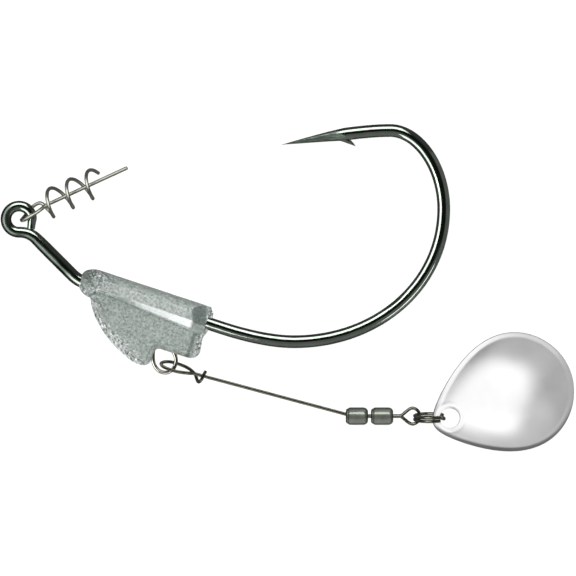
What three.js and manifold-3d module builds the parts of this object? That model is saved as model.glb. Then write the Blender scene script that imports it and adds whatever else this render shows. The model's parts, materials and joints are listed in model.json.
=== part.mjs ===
// A weighted wide-gap swimbait hook with an underslung spinner blade, lying on its side.
// Millimetres, +Z up. The hook's bend and the whole spinner chain lie in one level plane,
// and the cast keel's widest side rests on z = 0.
import * as THREE from 'three';
import { mergeVertices } from 'three/addons/utils/BufferGeometryUtils.js';
import Module from 'manifold-3d';

const wasm = await Module();
wasm.setup();

// Level plane of the hook, the hanger loop and the axes of the swivel
const PLANE_Z = 3.4;

// Hook: one forged wire
const HOOK_WIRE = 2.15;
const RING_WIRE = 1.8;
const RING_END_WIRE = 1.3;
const RING_CENTRE = new THREE.Vector2(-44.83, 11.47);
const RING_RADIUS = 2.18;
const RING_END_LENGTH = 1.25;
const RING_END_LEAN = 0.2;
const CRANK = new THREE.Vector2(-35.05, 1.3);
const SHANK_ANGLE = THREE.MathUtils.degToRad(-18.3);
const SHANK_LENGTH = 25;
const BEND_BOTTOM = new THREE.Vector2(1, -8.95);
const BEND_SIDE = new THREE.Vector2(25.95, 13.2);
const BEND_TOP = new THREE.Vector2(17, 26.25);
const HOOK_TIP = new THREE.Vector2(-1, 23.9);
const POINT_LENGTH = 10.6;
const BARB_ROOT = new THREE.Vector2(9.6, 24.9);
const BARB_TIP = new THREE.Vector2(11.25, 23.65);
const BARB_WIDTH = 0.95;
const BARB_HEIGHT = 1.235;
const LOWER_FULLNESS = 0.565;
const UPPER_FULLNESS = 0.53;
const RING_TURN = 1.5 * Math.PI;
const RING_TAPER = 3.5;
const SHANK_TAPER = 6;
const TIP_HALF_SIZE = 0.05;
const SIDE_GRIND = 0.9;
const FLAT_GRIND = 0.75;
const HOOK_STEPS = 112;
const HOOK_SIDES = 10;

// How far the hook's corners are eased, and how far its curves run on straight from their ends
const FRONT_EASE = 1.1;
const CRANK_EASE_IN = 0.9;
const CRANK_EASE_OUT = 1.3;
const SHANK_RUN = 3.9;
const BOTTOM_RUN = 4;
const TOP_RUN = 5;
const TIP_RUN = new THREE.Vector2(6.5, 1.15);

// Keel weight: a wedge along the shank with a thin fin under it, in the shank's own frame
const WEDGE_START = 0.35;
const WEDGE_END = 23.35;
const WEDGE_HALF_WIDTH = PLANE_Z;
const WEDGE_NOSE_HALF_WIDTH = 2.1;
const WEDGE_TOP = 2.75;
const WEDGE_LAND_TOP = 0.9;
const WEDGE_LAND_BOTTOM = -0.35;
const WEDGE_BOTTOM = -2.1;
const WEDGE_BELLY_HALF_WIDTH = 1.45;
const WEDGE_TAPER_START = 2;
const WEDGE_TAPER_LENGTH = 11;
const WEDGE_STATIONS = [0, 0.2, 0.6, 1.2, 1.9, 2.7, 7.85, 11, 14, 17, 19.3, 20, 20.7, 21.4, 22.1, 22.65, 23];
const BELLY_START = 8.2;
const BELLY_END = 20.4;
const BELLY_START_DROP = 0.75;
const BELLY_END_DROP = 1.96;
const NOSE_ROUND = 2.7;
const NOSE_SHARE = 0.3;
const NOSE_TOP_SHARE = 0.36;
const NOSE_BOTTOM_SHARE = 0.08;
const TAIL_ROUND = 1.35;
const TAIL_TOP_SHARE = 0.5;
const TAIL_FACET_START = 19.9;
const TAIL_FACET_SLOPE = 0.95;
const TAIL_FACET_LEAN = 0.35;
const TAIL_FACET_LEVEL = 0.6;
const TAIL_RIM_HALF_WIDTH = 0.45;
const FIN_HALF_WIDTH = 1.7;
const FIN_CHAMFER = 0.55;
const CAST_GAP = 0.04;

// Hanger loop: a wire cast into the keel
const HANGER_WIRE = 0.65;
const HANGER_STEPS = 34;
const HANGER_POINTS = [
  [-22, -7.7], [-22.3, -9.4], [-22.5, -11.2], [-22.35, -12.6], [-21.55, -13.75], [-20.35, -14.1],
  [-19.25, -13.6], [-18.7, -12.5], [-18.75, -11.4], [-19.2, -10.5], [-19.75, -9.5], [-19.95, -7.9],
];

// Wire arm, its points given along and across the arm from the foot of its eye
const ARM_WIRE = 0.55;
const ARM_FOOT = new THREE.Vector2(-15.45, -14.32);
const ARM_POINTS = [
  [1.55, 0.95, 0.42], [1.38, 0.1, 0.63], [1.2, -0.75, 0.5], [0.85, -1.15, 0], [0.45, -0.75, -0.5],
  [-0.05, -0.05, -0.66], [-1.2, 0.55, -0.85], [-2.9, 0.85, -1.05], [-4.6, 0.85, -1.05],
  [-5.6, 0.55, -0.65], [-5.95, 0.2, 0], [-5.6, -0.15, 0.65], [-4.6, -0.35, 1.05],
  [-2.9, -0.4, 1.0], [-1.3, -0.2, 0.5], [-0.2, 0, 0.06], [0.8, 0, 0],
];
const ARM_STRAIGHT_START = 0.8;
const ARM_HEAD_RADIUS = 0.78;

// Twin-barrel swivel, its axis along X
const AXIS_Y = -21.35;
const BARREL_LENGTH = 3.7;
const BARREL_RADIUS = 1.45;
const BARREL_WALL = 0.35;
const BARREL_SHOULDER = 0.42;
const BARREL_END_RADIUS = 0.85;
const BARREL_CRIMP_RADIUS = 1.2;
const BARREL_CRIMP_LENGTH = 0.126;
const FRONT_BARREL_X = 9.63;
const BARREL_GAP = 0.5;
const WIRE_HOLE_RADIUS = 0.66;
const SHANK_HOLE_RADIUS = 0.38;
const PIN_RADIUS = 0.33;
const PIN_HOLE_RADIUS = 0.4;
const HEAD_RADIUS = 0.9;
const HEAD_FACE_RADIUS = 0.72;
const HEAD_LENGTH = 0.6;
const PIN_SEGMENTS = 16;
const RUNNING_GAP = 0.06;

// Swivel eye: a headed shank that opens into a wire eye, one side of it given as (x, out from the axis)
const EYE_WIRE = 0.54;
const EYE_SHANK_RADIUS = 0.32;
const EYE_SHANK_END_X = 18.95;
const EYE_SIDE = [
  [18.75, 0], [19.15, 0.3], [19.75, 0.8], [20.25, 1.17], [20.75, 1.33], [21.25, 1.2],
  [21.7, 0.82], [21.92, 0.36], [21.95, 0],
];

// Split ring: two turns of wire side by side, nearly upright
const SPLIT_WIRE = 0.55;
const SPLIT_RADIUS = 2.45;
const SPLIT_PITCH = 0.6;
const SPLIT_TURN = THREE.MathUtils.degToRad(652);
const SPLIT_STEP_START = THREE.MathUtils.degToRad(298);
const SPLIT_STEP_END = THREE.MathUtils.degToRad(358);
const SPLIT_CENTRE = new THREE.Vector3(23.56, -21.6, PLANE_Z);
const SPLIT_LEAN = THREE.MathUtils.degToRad(8);

// Spinner blade: an egg-shaped dished sheet, measured from the centre of its hole
const BLADE_HOLE = new THREE.Vector3(26.93, -21.68, PLANE_Z);
const BLADE_HOLE_RADIUS = 1.63;
const BLADE_HEADING = THREE.MathUtils.degToRad(21.8);
const BLADE_CENTRE = 9.53;
const BLADE_HALF_LENGTH = 12.35;
const BLADE_HALF_WIDTH = 9.6;
const BLADE_DEPTH = 3.3;
const BLADE_THICKNESS = 0.5;
const BLADE_FLANGE_SHARE = 0.93;
const BLADE_CROWN_POWER = 2.2;
const BLADE_SHARES = [0, 0.15, 0.3, 0.45, 0.6, 0.73, 0.84, BLADE_FLANGE_SHARE, 1];

// Bait keeper: a pin, a loop round the hook's ring and a coil, all of one wire
const KEEPER_WIRE = 0.6;
const KEEPER_FOOT = new THREE.Vector3(-40.2, 13.85, 4.0);
const KEEPER_HEADING = THREE.MathUtils.degToRad(24.5);
const KEEPER_RISE = THREE.MathUtils.degToRad(16);
const KEEPER_PIN_LENGTH = 15.4;
const COIL_RADIUS = 2.27;
const COIL_PITCH = 3.75;
const COIL_START = 0.05;
const COIL_TURNS = 2.7;
const COIL_SLANT = 0.09;
const COIL_POINTS_PER_TURN = 12;
const COIL_LEAD_POINTS = 2;
const COIL_LEAD_NARROWING = 0.24;
const PIN_FOOT_RUN = 1.2;
const KEEPER_LOOP = [
  [-41.55, 12.8, 4.45], [-42.9, 11.95, 4.68], [-43.9, 11.35, 4.3], [-44.4, 11.3, 3.4],
  [-44.0, 11.85, 2.5], [-43.2, 12.85, 2.1], [-42.2, 13.85, 2.3], [-41.2, 14.15, 2.7],
];

// ---- Helpers ---------------------------------------------------------------------------

function toSolid(geometry) {
  const bare = geometry.index ? geometry.toNonIndexed() : geometry.clone();
  bare.deleteAttribute('normal');
  bare.deleteAttribute('uv');
  const merged = mergeVertices(bare, 1e-4);
  return new wasm.Manifold(new wasm.Mesh({
    numProp: 3,
    vertProperties: new Float32Array(merged.attributes.position.array),
    triVerts: new Uint32Array(merged.index.array),
  }));
}

function toGeometry(solid) {
  const mesh = solid.getMesh();
  const geometry = new THREE.BufferGeometry();
  geometry.setAttribute('position', new THREE.BufferAttribute(new Float32Array(mesh.vertProperties), 3));
  geometry.setIndex(new THREE.BufferAttribute(new Uint32Array(mesh.triVerts), 1));
  geometry.computeVertexNormals();
  return geometry;
}

function circleShape(radius, sides) {
  const points = [];
  for (let i = 0; i < sides; i++) {
    const angle = (i + 0.5) / sides * 2 * Math.PI;
    points.push(new THREE.Vector2(radius * Math.cos(angle), radius * Math.sin(angle)));
  }
  return new THREE.Shape(points);
}

// A wire of even thickness along a curve
function wire(curve, thickness, steps, sides = 8) {
  return new THREE.ExtrudeGeometry(circleShape(thickness / 2, sides), { steps, extrudePath: curve });
}

// A smooth curve through points
function spline(points) {
  return new THREE.CatmullRomCurve3(points, false, 'centripetal');
}

function inPlane(point, z = PLANE_Z) {
  return new THREE.Vector3(point.x, point.y, z);
}

function polar(centre, radius, angle) {
  return new THREE.Vector2(centre.x + radius * Math.cos(angle), centre.y + radius * Math.sin(angle));
}

// A point given along and across a heading from an origin
function fromHeading(origin, heading, along, across) {
  return new THREE.Vector2(along, across).rotateAround(new THREE.Vector2(), heading).add(origin);
}

// A capped cylinder bent along a level curve: halfSize(t) is its half width and half height
function bentRod(curve, steps, sides, halfSize) {
  const geometry = new THREE.CylinderGeometry(1, 1, 1, sides, steps);
  const position = geometry.attributes.position;
  for (let i = 0; i < position.count; i++) {
    const t = Math.round((0.5 - position.getY(i)) * steps) / steps;
    const point = curve.getPointAt(t);
    const tangent = curve.getTangentAt(t);
    const [across, up] = halfSize(t);
    point.x -= tangent.y * across * position.getX(i);
    point.y += tangent.x * across * position.getX(i);
    point.z += up * position.getZ(i);
    position.setXYZ(i, point.x, point.y, point.z);
  }
  return geometry;
}

// ---- Hook --------------------------------------------------------------------------------

function cubic(a, b, c, d) {
  return new THREE.CubicBezierCurve3(inPlane(a), inPlane(b), inPlane(c), inPlane(d));
}

// A quarter of an ellipse that leaves a level and reaches b upright, or the other way round
function quarterBend(a, b, fullness, startsLevel) {
  const across = new THREE.Vector2((b.x - a.x) * fullness, 0);
  const up = new THREE.Vector2(0, (b.y - a.y) * fullness);
  const [leave, arrive] = startsLevel ? [across, up] : [up, across];
  return cubic(a, a.clone().add(leave), b.clone().sub(arrive), b);
}

class RingCurve extends THREE.Curve {
  getPoint(t) {
    return inPlane(polar(RING_CENTRE, RING_RADIUS, t * RING_TURN));
  }
}

// The wire from the end of its ring round to the front section, the shank and the bend
function hookCurve() {
  const ringSide = polar(RING_CENTRE, RING_RADIUS, 0);
  const ringEnd = new THREE.Vector2(ringSide.x - RING_END_LEAN, ringSide.y - RING_END_LENGTH);
  const ringBottom = polar(RING_CENTRE, RING_RADIUS, RING_TURN);
  const front = new THREE.Vector2(CRANK.x + CRANK.y - ringBottom.y, ringBottom.y);
  const frontStart = new THREE.Vector2(front.x + FRONT_EASE, front.y - FRONT_EASE);
  const crankStart = new THREE.Vector2(CRANK.x - CRANK_EASE_IN, CRANK.y + CRANK_EASE_IN);
  const crankEnd = fromHeading(CRANK, SHANK_ANGLE, CRANK_EASE_OUT, 0);
  const shankEnd = fromHeading(CRANK, SHANK_ANGLE, SHANK_LENGTH, 0);
  const path = new THREE.CurvePath();
  path.add(new THREE.LineCurve3(inPlane(ringEnd), inPlane(ringSide)));
  path.add(new RingCurve());
  path.add(new THREE.QuadraticBezierCurve3(inPlane(ringBottom), inPlane(front), inPlane(frontStart)));
  path.add(new THREE.LineCurve3(inPlane(frontStart), inPlane(crankStart)));
  path.add(new THREE.QuadraticBezierCurve3(inPlane(crankStart), inPlane(CRANK), inPlane(crankEnd)));
  path.add(new THREE.LineCurve3(inPlane(crankEnd), inPlane(shankEnd)));
  const shankRun = fromHeading(shankEnd, SHANK_ANGLE, SHANK_RUN, 0);
  const bottomRun = new THREE.Vector2(BEND_BOTTOM.x - BOTTOM_RUN, BEND_BOTTOM.y);
  path.add(cubic(shankEnd, shankRun, bottomRun, BEND_BOTTOM));
  path.add(quarterBend(BEND_BOTTOM, BEND_SIDE, LOWER_FULLNESS, true));
  path.add(quarterBend(BEND_SIDE, BEND_TOP, UPPER_FULLNESS, false));
  const topRun = new THREE.Vector2(BEND_TOP.x - TOP_RUN, BEND_TOP.y);
  path.add(cubic(BEND_TOP, topRun, HOOK_TIP.clone().add(TIP_RUN), HOOK_TIP));
  return path;
}

// The wire is thinner round its ring and ground down to the point
function hookHalfSize(distance, length) {
  const ringLength = RING_END_LENGTH + RING_TURN * RING_RADIUS;
  const toRing = THREE.MathUtils.smoothstep(distance, 0, RING_TAPER);
  const toShank = THREE.MathUtils.smoothstep(distance, ringLength, ringLength + SHANK_TAPER);
  const ringWire = THREE.MathUtils.lerp(RING_END_WIRE, RING_WIRE, toRing);
  const radius = THREE.MathUtils.lerp(ringWire, HOOK_WIRE, toShank) / 2;
  const grind = Math.min(1, (length - distance) / POINT_LENGTH);
  const across = Math.max(TIP_HALF_SIZE, radius * grind ** SIDE_GRIND);
  const up = Math.max(TIP_HALF_SIZE, radius * grind ** FLAT_GRIND);
  return [across, up];
}

function barb() {
  const heading = BARB_TIP.clone().sub(BARB_ROOT);
  const cone = new THREE.ConeGeometry(0.5, heading.length(), 6);
  cone.scale(BARB_WIDTH, 1, BARB_HEIGHT);
  cone.translate(0, heading.length() / 2, 0);
  cone.rotateZ(heading.angle() - Math.PI / 2);
  cone.translate(BARB_ROOT.x, BARB_ROOT.y, PLANE_Z);
  return cone;
}

function hookRod(extra) {
  const curve = hookCurve();
  curve.arcLengthDivisions = 600;
  const length = curve.getLength();
  const grow = (t) => hookHalfSize(t * length, length).map((size) => size + extra);
  return bentRod(curve, HOOK_STEPS, HOOK_SIDES, grow);
}

function hookGeometry() {
  return toGeometry(toSolid(hookRod(0)).add(toSolid(barb())));
}

// ---- Keel weight ---------------------------------------------------------------------------

function wedgeHalfWidth(s) {
  const share = THREE.MathUtils.clamp((s - WEDGE_TAPER_START) / WEDGE_TAPER_LENGTH, 0, 1);
  return THREE.MathUtils.lerp(WEDGE_NOSE_HALF_WIDTH, WEDGE_HALF_WIDTH, share);
}

// The wedge's section: a low dome, a flat land on each side and slopes in to the belly, which drops
// along the shank
function wedgeSection(s) {
  const width = wedgeHalfWidth(s);
  const along = THREE.MathUtils.clamp((s - BELLY_START) / (BELLY_END - BELLY_START), 0, 1);
  const belly = WEDGE_LAND_BOTTOM - THREE.MathUtils.lerp(BELLY_START_DROP, BELLY_END_DROP, along);
  const side = [
    [0, WEDGE_TOP], [width * 0.5, WEDGE_TOP * 0.93], [width * 0.82, WEDGE_TOP * 0.68],
    [width, WEDGE_LAND_TOP], [width, WEDGE_LAND_BOTTOM], [WEDGE_BELLY_HALF_WIDTH, belly],
    [WEDGE_BELLY_HALF_WIDTH * 0.9, Math.min(belly - 0.1, WEDGE_BOTTOM)],
  ];
  const other = side.slice(1).reverse().map(([z, t]) => [-z, t]);
  return [...side, ...other];
}

// The rise of a quarter circle from 0 to 1
function roundRise(share) {
  return Math.sqrt(1 - (1 - THREE.MathUtils.clamp(share, 0, 1)) ** 2);
}

// A corner of the section after the nose is rounded off and the tail's two slopes are cut
function wedgeCorner(s, [z, t]) {
  const nose = roundRise((s - WEDGE_START) / NOSE_ROUND);
  const tail = THREE.MathUtils.lerp(TAIL_TOP_SHARE, 1, roundRise((WEDGE_END - s) / TAIL_ROUND));
  const height = t > 0
    ? THREE.MathUtils.lerp(NOSE_TOP_SHARE, 1, nose) * tail
    : THREE.MathUtils.lerp(NOSE_BOTTOM_SHARE, 1, nose);
  const cut = WEDGE_HALF_WIDTH
    - (s - TAIL_FACET_START + TAIL_FACET_LEAN * (t - TAIL_FACET_LEVEL)) * TAIL_FACET_SLOPE;
  const full = Math.abs(z) * THREE.MathUtils.lerp(NOSE_SHARE, 1, nose);
  return [Math.sign(z) * Math.min(full, Math.max(TAIL_RIM_HALF_WIDTH, cut)), t * height];
}

function wedgeGeometry() {
  const steps = WEDGE_STATIONS.length - 1;
  const sides = wedgeSection(0).length;
  const geometry = new THREE.CylinderGeometry(1, 1, 1, sides, steps);
  const position = geometry.attributes.position;
  for (let i = 0; i < position.count; i++) {
    const s = WEDGE_START + WEDGE_STATIONS[Math.round((0.5 - position.getY(i)) * steps)];
    const onAxis = Math.hypot(position.getX(i), position.getZ(i)) < 0.5;
    const turn = Math.atan2(position.getZ(i), position.getX(i)) / (2 * Math.PI);
    const corner = wedgeCorner(s, wedgeSection(s)[(Math.round(turn * sides) + sides) % sides]);
    position.setXYZ(i, s, onAxis ? 0 : corner[1], onAxis ? 0 : corner[0]);
  }
  return geometry;
}

// The fin's outline along and across the shank: a curved front, a notch behind its low corner for
// the hanger loop, then a shorter rear part
function finGeometry() {
  const outline = new THREE.Shape();
  outline.moveTo(2.9, 0.4);
  outline.lineTo(2.75, -1.6);
  outline.bezierCurveTo(3.6, -4.6, 7.4, -8.2, 12.6, -9.9);
  outline.quadraticCurveTo(15.2, -10.6, 15.75, -9.2);
  outline.lineTo(15.85, -7.3);
  outline.quadraticCurveTo(15.95, -6.6, 16.7, -6.55);
  outline.lineTo(21.3, -6.5);
  outline.quadraticCurveTo(22.9, -6.4, 23.15, -5.0);
  outline.lineTo(22.6, -1.4);
  outline.lineTo(22, 0.4);
  const depth = 2 * (FIN_HALF_WIDTH - FIN_CHAMFER);
  const geometry = new THREE.ExtrudeGeometry(outline, {
    depth,
    curveSegments: 7,
    bevelThickness: FIN_CHAMFER,
    bevelSize: FIN_CHAMFER,
    bevelOffset: -FIN_CHAMFER,
    bevelSegments: 2,
  });
  geometry.translate(0, 0, -depth / 2);
  return geometry;
}

function keelGeometry() {
  const place = new THREE.Matrix4().makeRotationZ(SHANK_ANGLE).setPosition(CRANK.x, CRANK.y, PLANE_Z);
  const wedge = toSolid(wedgeGeometry().applyMatrix4(place));
  const fin = toSolid(finGeometry().applyMatrix4(place));
  const hookHole = toSolid(hookRod(CAST_GAP));
  const hangerHole = toSolid(wire(hangerCurve(CAST_GAP), HANGER_WIRE + 2 * CAST_GAP, HANGER_STEPS));
  return toGeometry(wedge.add(fin).subtract(hookHole).subtract(hangerHole));
}

// ---- Hanger loop and wire arm ------------------------------------------------------------------

// Both legs can run on a little further, for the hole that the wire leaves in the casting
function hangerCurve(extra) {
  const points = HANGER_POINTS.map(([x, y]) => new THREE.Vector3(x, y, PLANE_Z));
  points[0].y += extra;
  points[points.length - 1].y += extra;
  return spline(points);
}

function armHead() {
  return new THREE.Vector2(FRONT_BARREL_X + BARREL_WALL + ARM_HEAD_RADIUS + RUNNING_GAP, AXIS_Y);
}

// From the stub of the wrap round the eye to the foot, then straight into the front barrel
function armGeometry() {
  const head = armHead();
  const run = head.clone().sub(ARM_FOOT);
  const points = ARM_POINTS.map(([along, across, z]) =>
    inPlane(fromHeading(ARM_FOOT, run.angle(), along, across), PLANE_Z + z));
  const bent = toSolid(wire(spline(points), ARM_WIRE, 62));
  const straightStart = inPlane(fromHeading(ARM_FOOT, run.angle(), ARM_STRAIGHT_START, 0));
  const straight = toSolid(wire(new THREE.LineCurve3(straightStart, inPlane(head)), ARM_WIRE, 1));
  const ball = new THREE.SphereGeometry(ARM_HEAD_RADIUS, 12, 8);
  ball.translate(head.x, head.y, PLANE_Z);
  return toGeometry(bent.add(straight).add(toSolid(ball)));
}

// ---- Swivel ------------------------------------------------------------------------------------

// Turns a profile of (x, radius) points about the swivel's axis
function turned(profile, segments = 20) {
  const points = profile.map(([x, radius]) => new THREE.Vector2(radius, x));
  const geometry = new THREE.LatheGeometry(points, segments);
  geometry.rotateZ(-Math.PI / 2);
  geometry.translate(0, AXIS_Y, PLANE_Z);
  return geometry;
}

// A hollow barrel with rounded shoulders and a hole in each end
function barrelGeometry(x, leftHole, rightHole) {
  const end = x + BARREL_LENGTH;
  const inner = BARREL_RADIUS - BARREL_WALL;
  const crimp = [
    [0, BARREL_END_RADIUS], [BARREL_CRIMP_LENGTH, BARREL_CRIMP_RADIUS], [BARREL_SHOULDER, BARREL_RADIUS],
  ];
  const leftCrimp = crimp.map(([along, radius]) => [x + along, radius]);
  const rightCrimp = crimp.map(([along, radius]) => [end - along, radius]).reverse();
  return turned([
    [x, leftHole], ...leftCrimp, ...rightCrimp, [end, rightHole],
    [end - BARREL_WALL, rightHole], [end - BARREL_WALL, inner],
    [x + BARREL_WALL, inner], [x + BARREL_WALL, leftHole], [x, leftHole],
  ]);
}

function rearBarrelX() {
  return FRONT_BARREL_X + BARREL_LENGTH + BARREL_GAP;
}

// A pin's head: from the middle of its face at x to its inner side, HEAD_LENGTH away
function headProfile(x, direction) {
  return [
    [x, 0], [x, HEAD_FACE_RADIUS],
    [x + direction * HEAD_LENGTH / 2, HEAD_RADIUS], [x + direction * HEAD_LENGTH, HEAD_RADIUS],
  ];
}

// A pin with a head inside each barrel
function linkPinGeometry() {
  const left = FRONT_BARREL_X + BARREL_LENGTH - BARREL_WALL - RUNNING_GAP;
  const right = rearBarrelX() + BARREL_WALL + RUNNING_GAP;
  return turned([
    ...headProfile(left - HEAD_LENGTH, 1),
    [left, PIN_RADIUS], [right, PIN_RADIUS],
    ...headProfile(right + HEAD_LENGTH, -1).reverse(),
  ], PIN_SEGMENTS);
}

function swivelEyeGeometry() {
  const headEnd = rearBarrelX() + BARREL_LENGTH - BARREL_WALL - RUNNING_GAP;
  const points = EYE_SIDE.map(([x, out]) => new THREE.Vector3(x, out, 0));
  const side = wire(spline(points), EYE_WIRE, 26);
  const otherSide = side.clone().applyMatrix4(new THREE.Matrix4().makeRotationX(Math.PI));
  const place = new THREE.Matrix4().makeTranslation(0, AXIS_Y, PLANE_Z);
  const shank = turned([
    ...headProfile(headEnd - HEAD_LENGTH, 1),
    [headEnd, EYE_SHANK_RADIUS], [EYE_SHANK_END_X, EYE_SHANK_RADIUS], [EYE_SHANK_END_X, 0],
  ], PIN_SEGMENTS);
  const eye = toSolid(side.applyMatrix4(place)).add(toSolid(otherSide.applyMatrix4(place)));
  return toGeometry(eye.add(toSolid(shank)));
}

// ---- Split ring ----------------------------------------------------------------------------------

// Two turns in parallel planes, with one short step between them
class SplitRingCurve extends THREE.Curve {
  getPoint(t) {
    const angle = t * SPLIT_TURN;
    const step = THREE.MathUtils.smoothstep(angle, SPLIT_STEP_START, SPLIT_STEP_END);
    const turnAngle = angle + Math.PI / 4;
    return new THREE.Vector3(
      SPLIT_RADIUS * Math.cos(turnAngle),
      SPLIT_PITCH * (step - 0.5),
      SPLIT_RADIUS * Math.sin(turnAngle),
    );
  }
}

function splitRingGeometry() {
  const geometry = wire(new SplitRingCurve(), SPLIT_WIRE, 56);
  geometry.rotateX(SPLIT_LEAN);
  geometry.translate(SPLIT_CENTRE.x, SPLIT_CENTRE.y, SPLIT_CENTRE.z);
  return geometry;
}

// ---- Blade ---------------------------------------------------------------------------------------

// The egg outline: turn 0 is the broad far end
function bladeOutline(turn) {
  const c = Math.cos(turn);
  const widening = 1 + 0.3 * c - 0.17 * c * c;
  return [BLADE_CENTRE + BLADE_HALF_LENGTH * c, BLADE_HALF_WIDTH * Math.sin(turn) * widening];
}

// Height of the dish over its rim: a narrow flat flange, then a smooth crown
function dishHeight(share) {
  const inside = Math.min(1, share / BLADE_FLANGE_SHARE);
  return BLADE_DEPTH * (1 - inside ** BLADE_CROWN_POWER);
}

// A thin disc, reshaped to the egg outline and dished, then pierced
function bladeGeometry() {
  const under = BLADE_SHARES.map((share) => new THREE.Vector2(share, 0));
  const over = BLADE_SHARES.slice().reverse().map((share) => new THREE.Vector2(share, 1));
  const geometry = new THREE.LatheGeometry([...under, ...over], 40);
  const position = geometry.attributes.position;
  for (let i = 0; i < position.count; i++) {
    const share = Math.hypot(position.getX(i), position.getZ(i));
    const [along, across] = bladeOutline(Math.atan2(position.getX(i), position.getZ(i)));
    const height = dishHeight(share) + position.getY(i) * BLADE_THICKNESS;
    position.setXYZ(i, THREE.MathUtils.lerp(BLADE_CENTRE, along, share), across * share, height);
  }
  const hole = new THREE.CylinderGeometry(BLADE_HOLE_RADIUS, BLADE_HOLE_RADIUS, 12, 24);
  hole.rotateX(Math.PI / 2);
  return layBlade(toGeometry(toSolid(geometry).subtract(toSolid(hole))));
}

// Tilts the blade so that its far rim touches the ground while its hole is level with the ring
function layBlade(geometry) {
  const holeShare = BLADE_CENTRE / BLADE_HALF_LENGTH;
  const holeHeight = dishHeight(holeShare) + BLADE_THICKNESS / 2;
  const reach = BLADE_CENTRE + BLADE_HALF_LENGTH;
  const tilt = Math.asin((PLANE_Z - holeHeight) / reach);
  geometry.translate(0, 0, -holeHeight);
  geometry.rotateY(tilt);
  geometry.rotateZ(BLADE_HEADING);
  geometry.translate(BLADE_HOLE.x, BLADE_HOLE.y, BLADE_HOLE.z);
  return geometry;
}

// ---- Bait keeper -----------------------------------------------------------------------------------

// Down the pin to its foot, round the hook's ring, then up the coil that surrounds the pin
function keeperGeometry() {
  const along = new THREE.Vector3(Math.cos(KEEPER_HEADING), Math.sin(KEEPER_HEADING), 0);
  const across = new THREE.Vector3(-along.y, along.x, 0);
  const axis = along.clone().multiplyScalar(Math.cos(KEEPER_RISE));
  axis.z = Math.sin(KEEPER_RISE);
  const toward = new THREE.Vector3().crossVectors(axis, across);
  const onAxis = (distance) => KEEPER_FOOT.clone().addScaledVector(axis, distance);
  const points = [KEEPER_PIN_LENGTH, KEEPER_PIN_LENGTH / 2, PIN_FOOT_RUN, 0].map(onAxis);
  for (const [x, y, z] of KEEPER_LOOP) {
    points.push(new THREE.Vector3(x, y, z));
  }
  for (let i = -COIL_LEAD_POINTS; i <= COIL_TURNS * COIL_POINTS_PER_TURN; i++) {
    const turn = i / COIL_POINTS_PER_TURN;
    const angle = turn * 2 * Math.PI - Math.PI / 2;
    const radius = COIL_RADIUS * (1 + COIL_LEAD_NARROWING * Math.min(0, i));
    const upward = radius * Math.sin(angle);
    points.push(onAxis(COIL_START + turn * COIL_PITCH - COIL_SLANT * upward)
      .addScaledVector(across, upward)
      .addScaledVector(toward, radius * Math.cos(angle)));
  }
  return toGeometry(toSolid(wire(spline(points), KEEPER_WIRE, 132)));
}

// ---- Assembly ----------------------------------------------------------------------------------------

function metal(color, roughness, metalness) {
  return new THREE.MeshStandardMaterial({ color, roughness, metalness });
}

const blackNickel = metal(0x3a4440, 0.25, 0.9);
const castLead = metal(0xa5afb2, 0.55, 0.7);
const brightNickel = metal(0xc9c6b8, 0.2, 1);
const darkWire = metal(0x4a4f4c, 0.3, 0.9);
const smokedNickel = metal(0x454b46, 0.22, 0.95);
const springSteel = metal(0x83867a, 0.3, 0.95);
const silverPlate = metal(0xe8e8ea, 0.08, 1);

const lure = new THREE.Group();

function addPiece(name, geometry, material) {
  const mesh = new THREE.Mesh(geometry, material);
  mesh.name = name;
  lure.add(mesh);
}

addPiece('hook', hookGeometry(), blackNickel);
addPiece('keel_weight', keelGeometry(), castLead);
addPiece('hanger_loop', wire(hangerCurve(0), HANGER_WIRE, HANGER_STEPS), brightNickel);
addPiece('bait_keeper', keeperGeometry(), springSteel);
addPiece('wire_arm', armGeometry(), darkWire);
addPiece('front_barrel', barrelGeometry(FRONT_BARREL_X, WIRE_HOLE_RADIUS, PIN_HOLE_RADIUS), smokedNickel);
addPiece('link_pin', linkPinGeometry(), darkWire);
addPiece('rear_barrel', barrelGeometry(rearBarrelX(), PIN_HOLE_RADIUS, SHANK_HOLE_RADIUS), smokedNickel);
addPiece('swivel_eye', swivelEyeGeometry(), darkWire);
addPiece('split_ring', splitRingGeometry(), darkWire);
addPiece('blade', bladeGeometry(), silverPlate);

export default lure;
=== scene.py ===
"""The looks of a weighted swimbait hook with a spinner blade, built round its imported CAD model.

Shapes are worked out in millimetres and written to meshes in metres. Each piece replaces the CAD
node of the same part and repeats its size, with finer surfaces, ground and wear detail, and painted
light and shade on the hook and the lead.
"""

import json
import math

import bmesh
import bpy
import numpy as np
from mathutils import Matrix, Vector, noise


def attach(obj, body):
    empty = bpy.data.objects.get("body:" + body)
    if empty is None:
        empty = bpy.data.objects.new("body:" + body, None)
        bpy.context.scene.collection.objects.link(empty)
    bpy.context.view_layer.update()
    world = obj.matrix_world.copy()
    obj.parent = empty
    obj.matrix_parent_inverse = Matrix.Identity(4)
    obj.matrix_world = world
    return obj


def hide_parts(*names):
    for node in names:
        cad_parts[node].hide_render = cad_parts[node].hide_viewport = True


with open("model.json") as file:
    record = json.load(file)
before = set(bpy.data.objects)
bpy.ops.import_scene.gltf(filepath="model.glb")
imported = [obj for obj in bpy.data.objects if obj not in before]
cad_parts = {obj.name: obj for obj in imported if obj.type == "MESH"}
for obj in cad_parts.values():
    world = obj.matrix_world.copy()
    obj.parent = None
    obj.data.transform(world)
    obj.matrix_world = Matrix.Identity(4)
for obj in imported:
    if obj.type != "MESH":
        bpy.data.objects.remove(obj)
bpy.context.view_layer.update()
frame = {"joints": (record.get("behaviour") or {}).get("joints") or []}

MM = 0.001


def joint_at(name):
    """A joint's pivot in millimetres."""
    joint = next(j for j in frame["joints"] if j["name"] == name)
    return np.array(joint["pos_m"]) / MM


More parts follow.
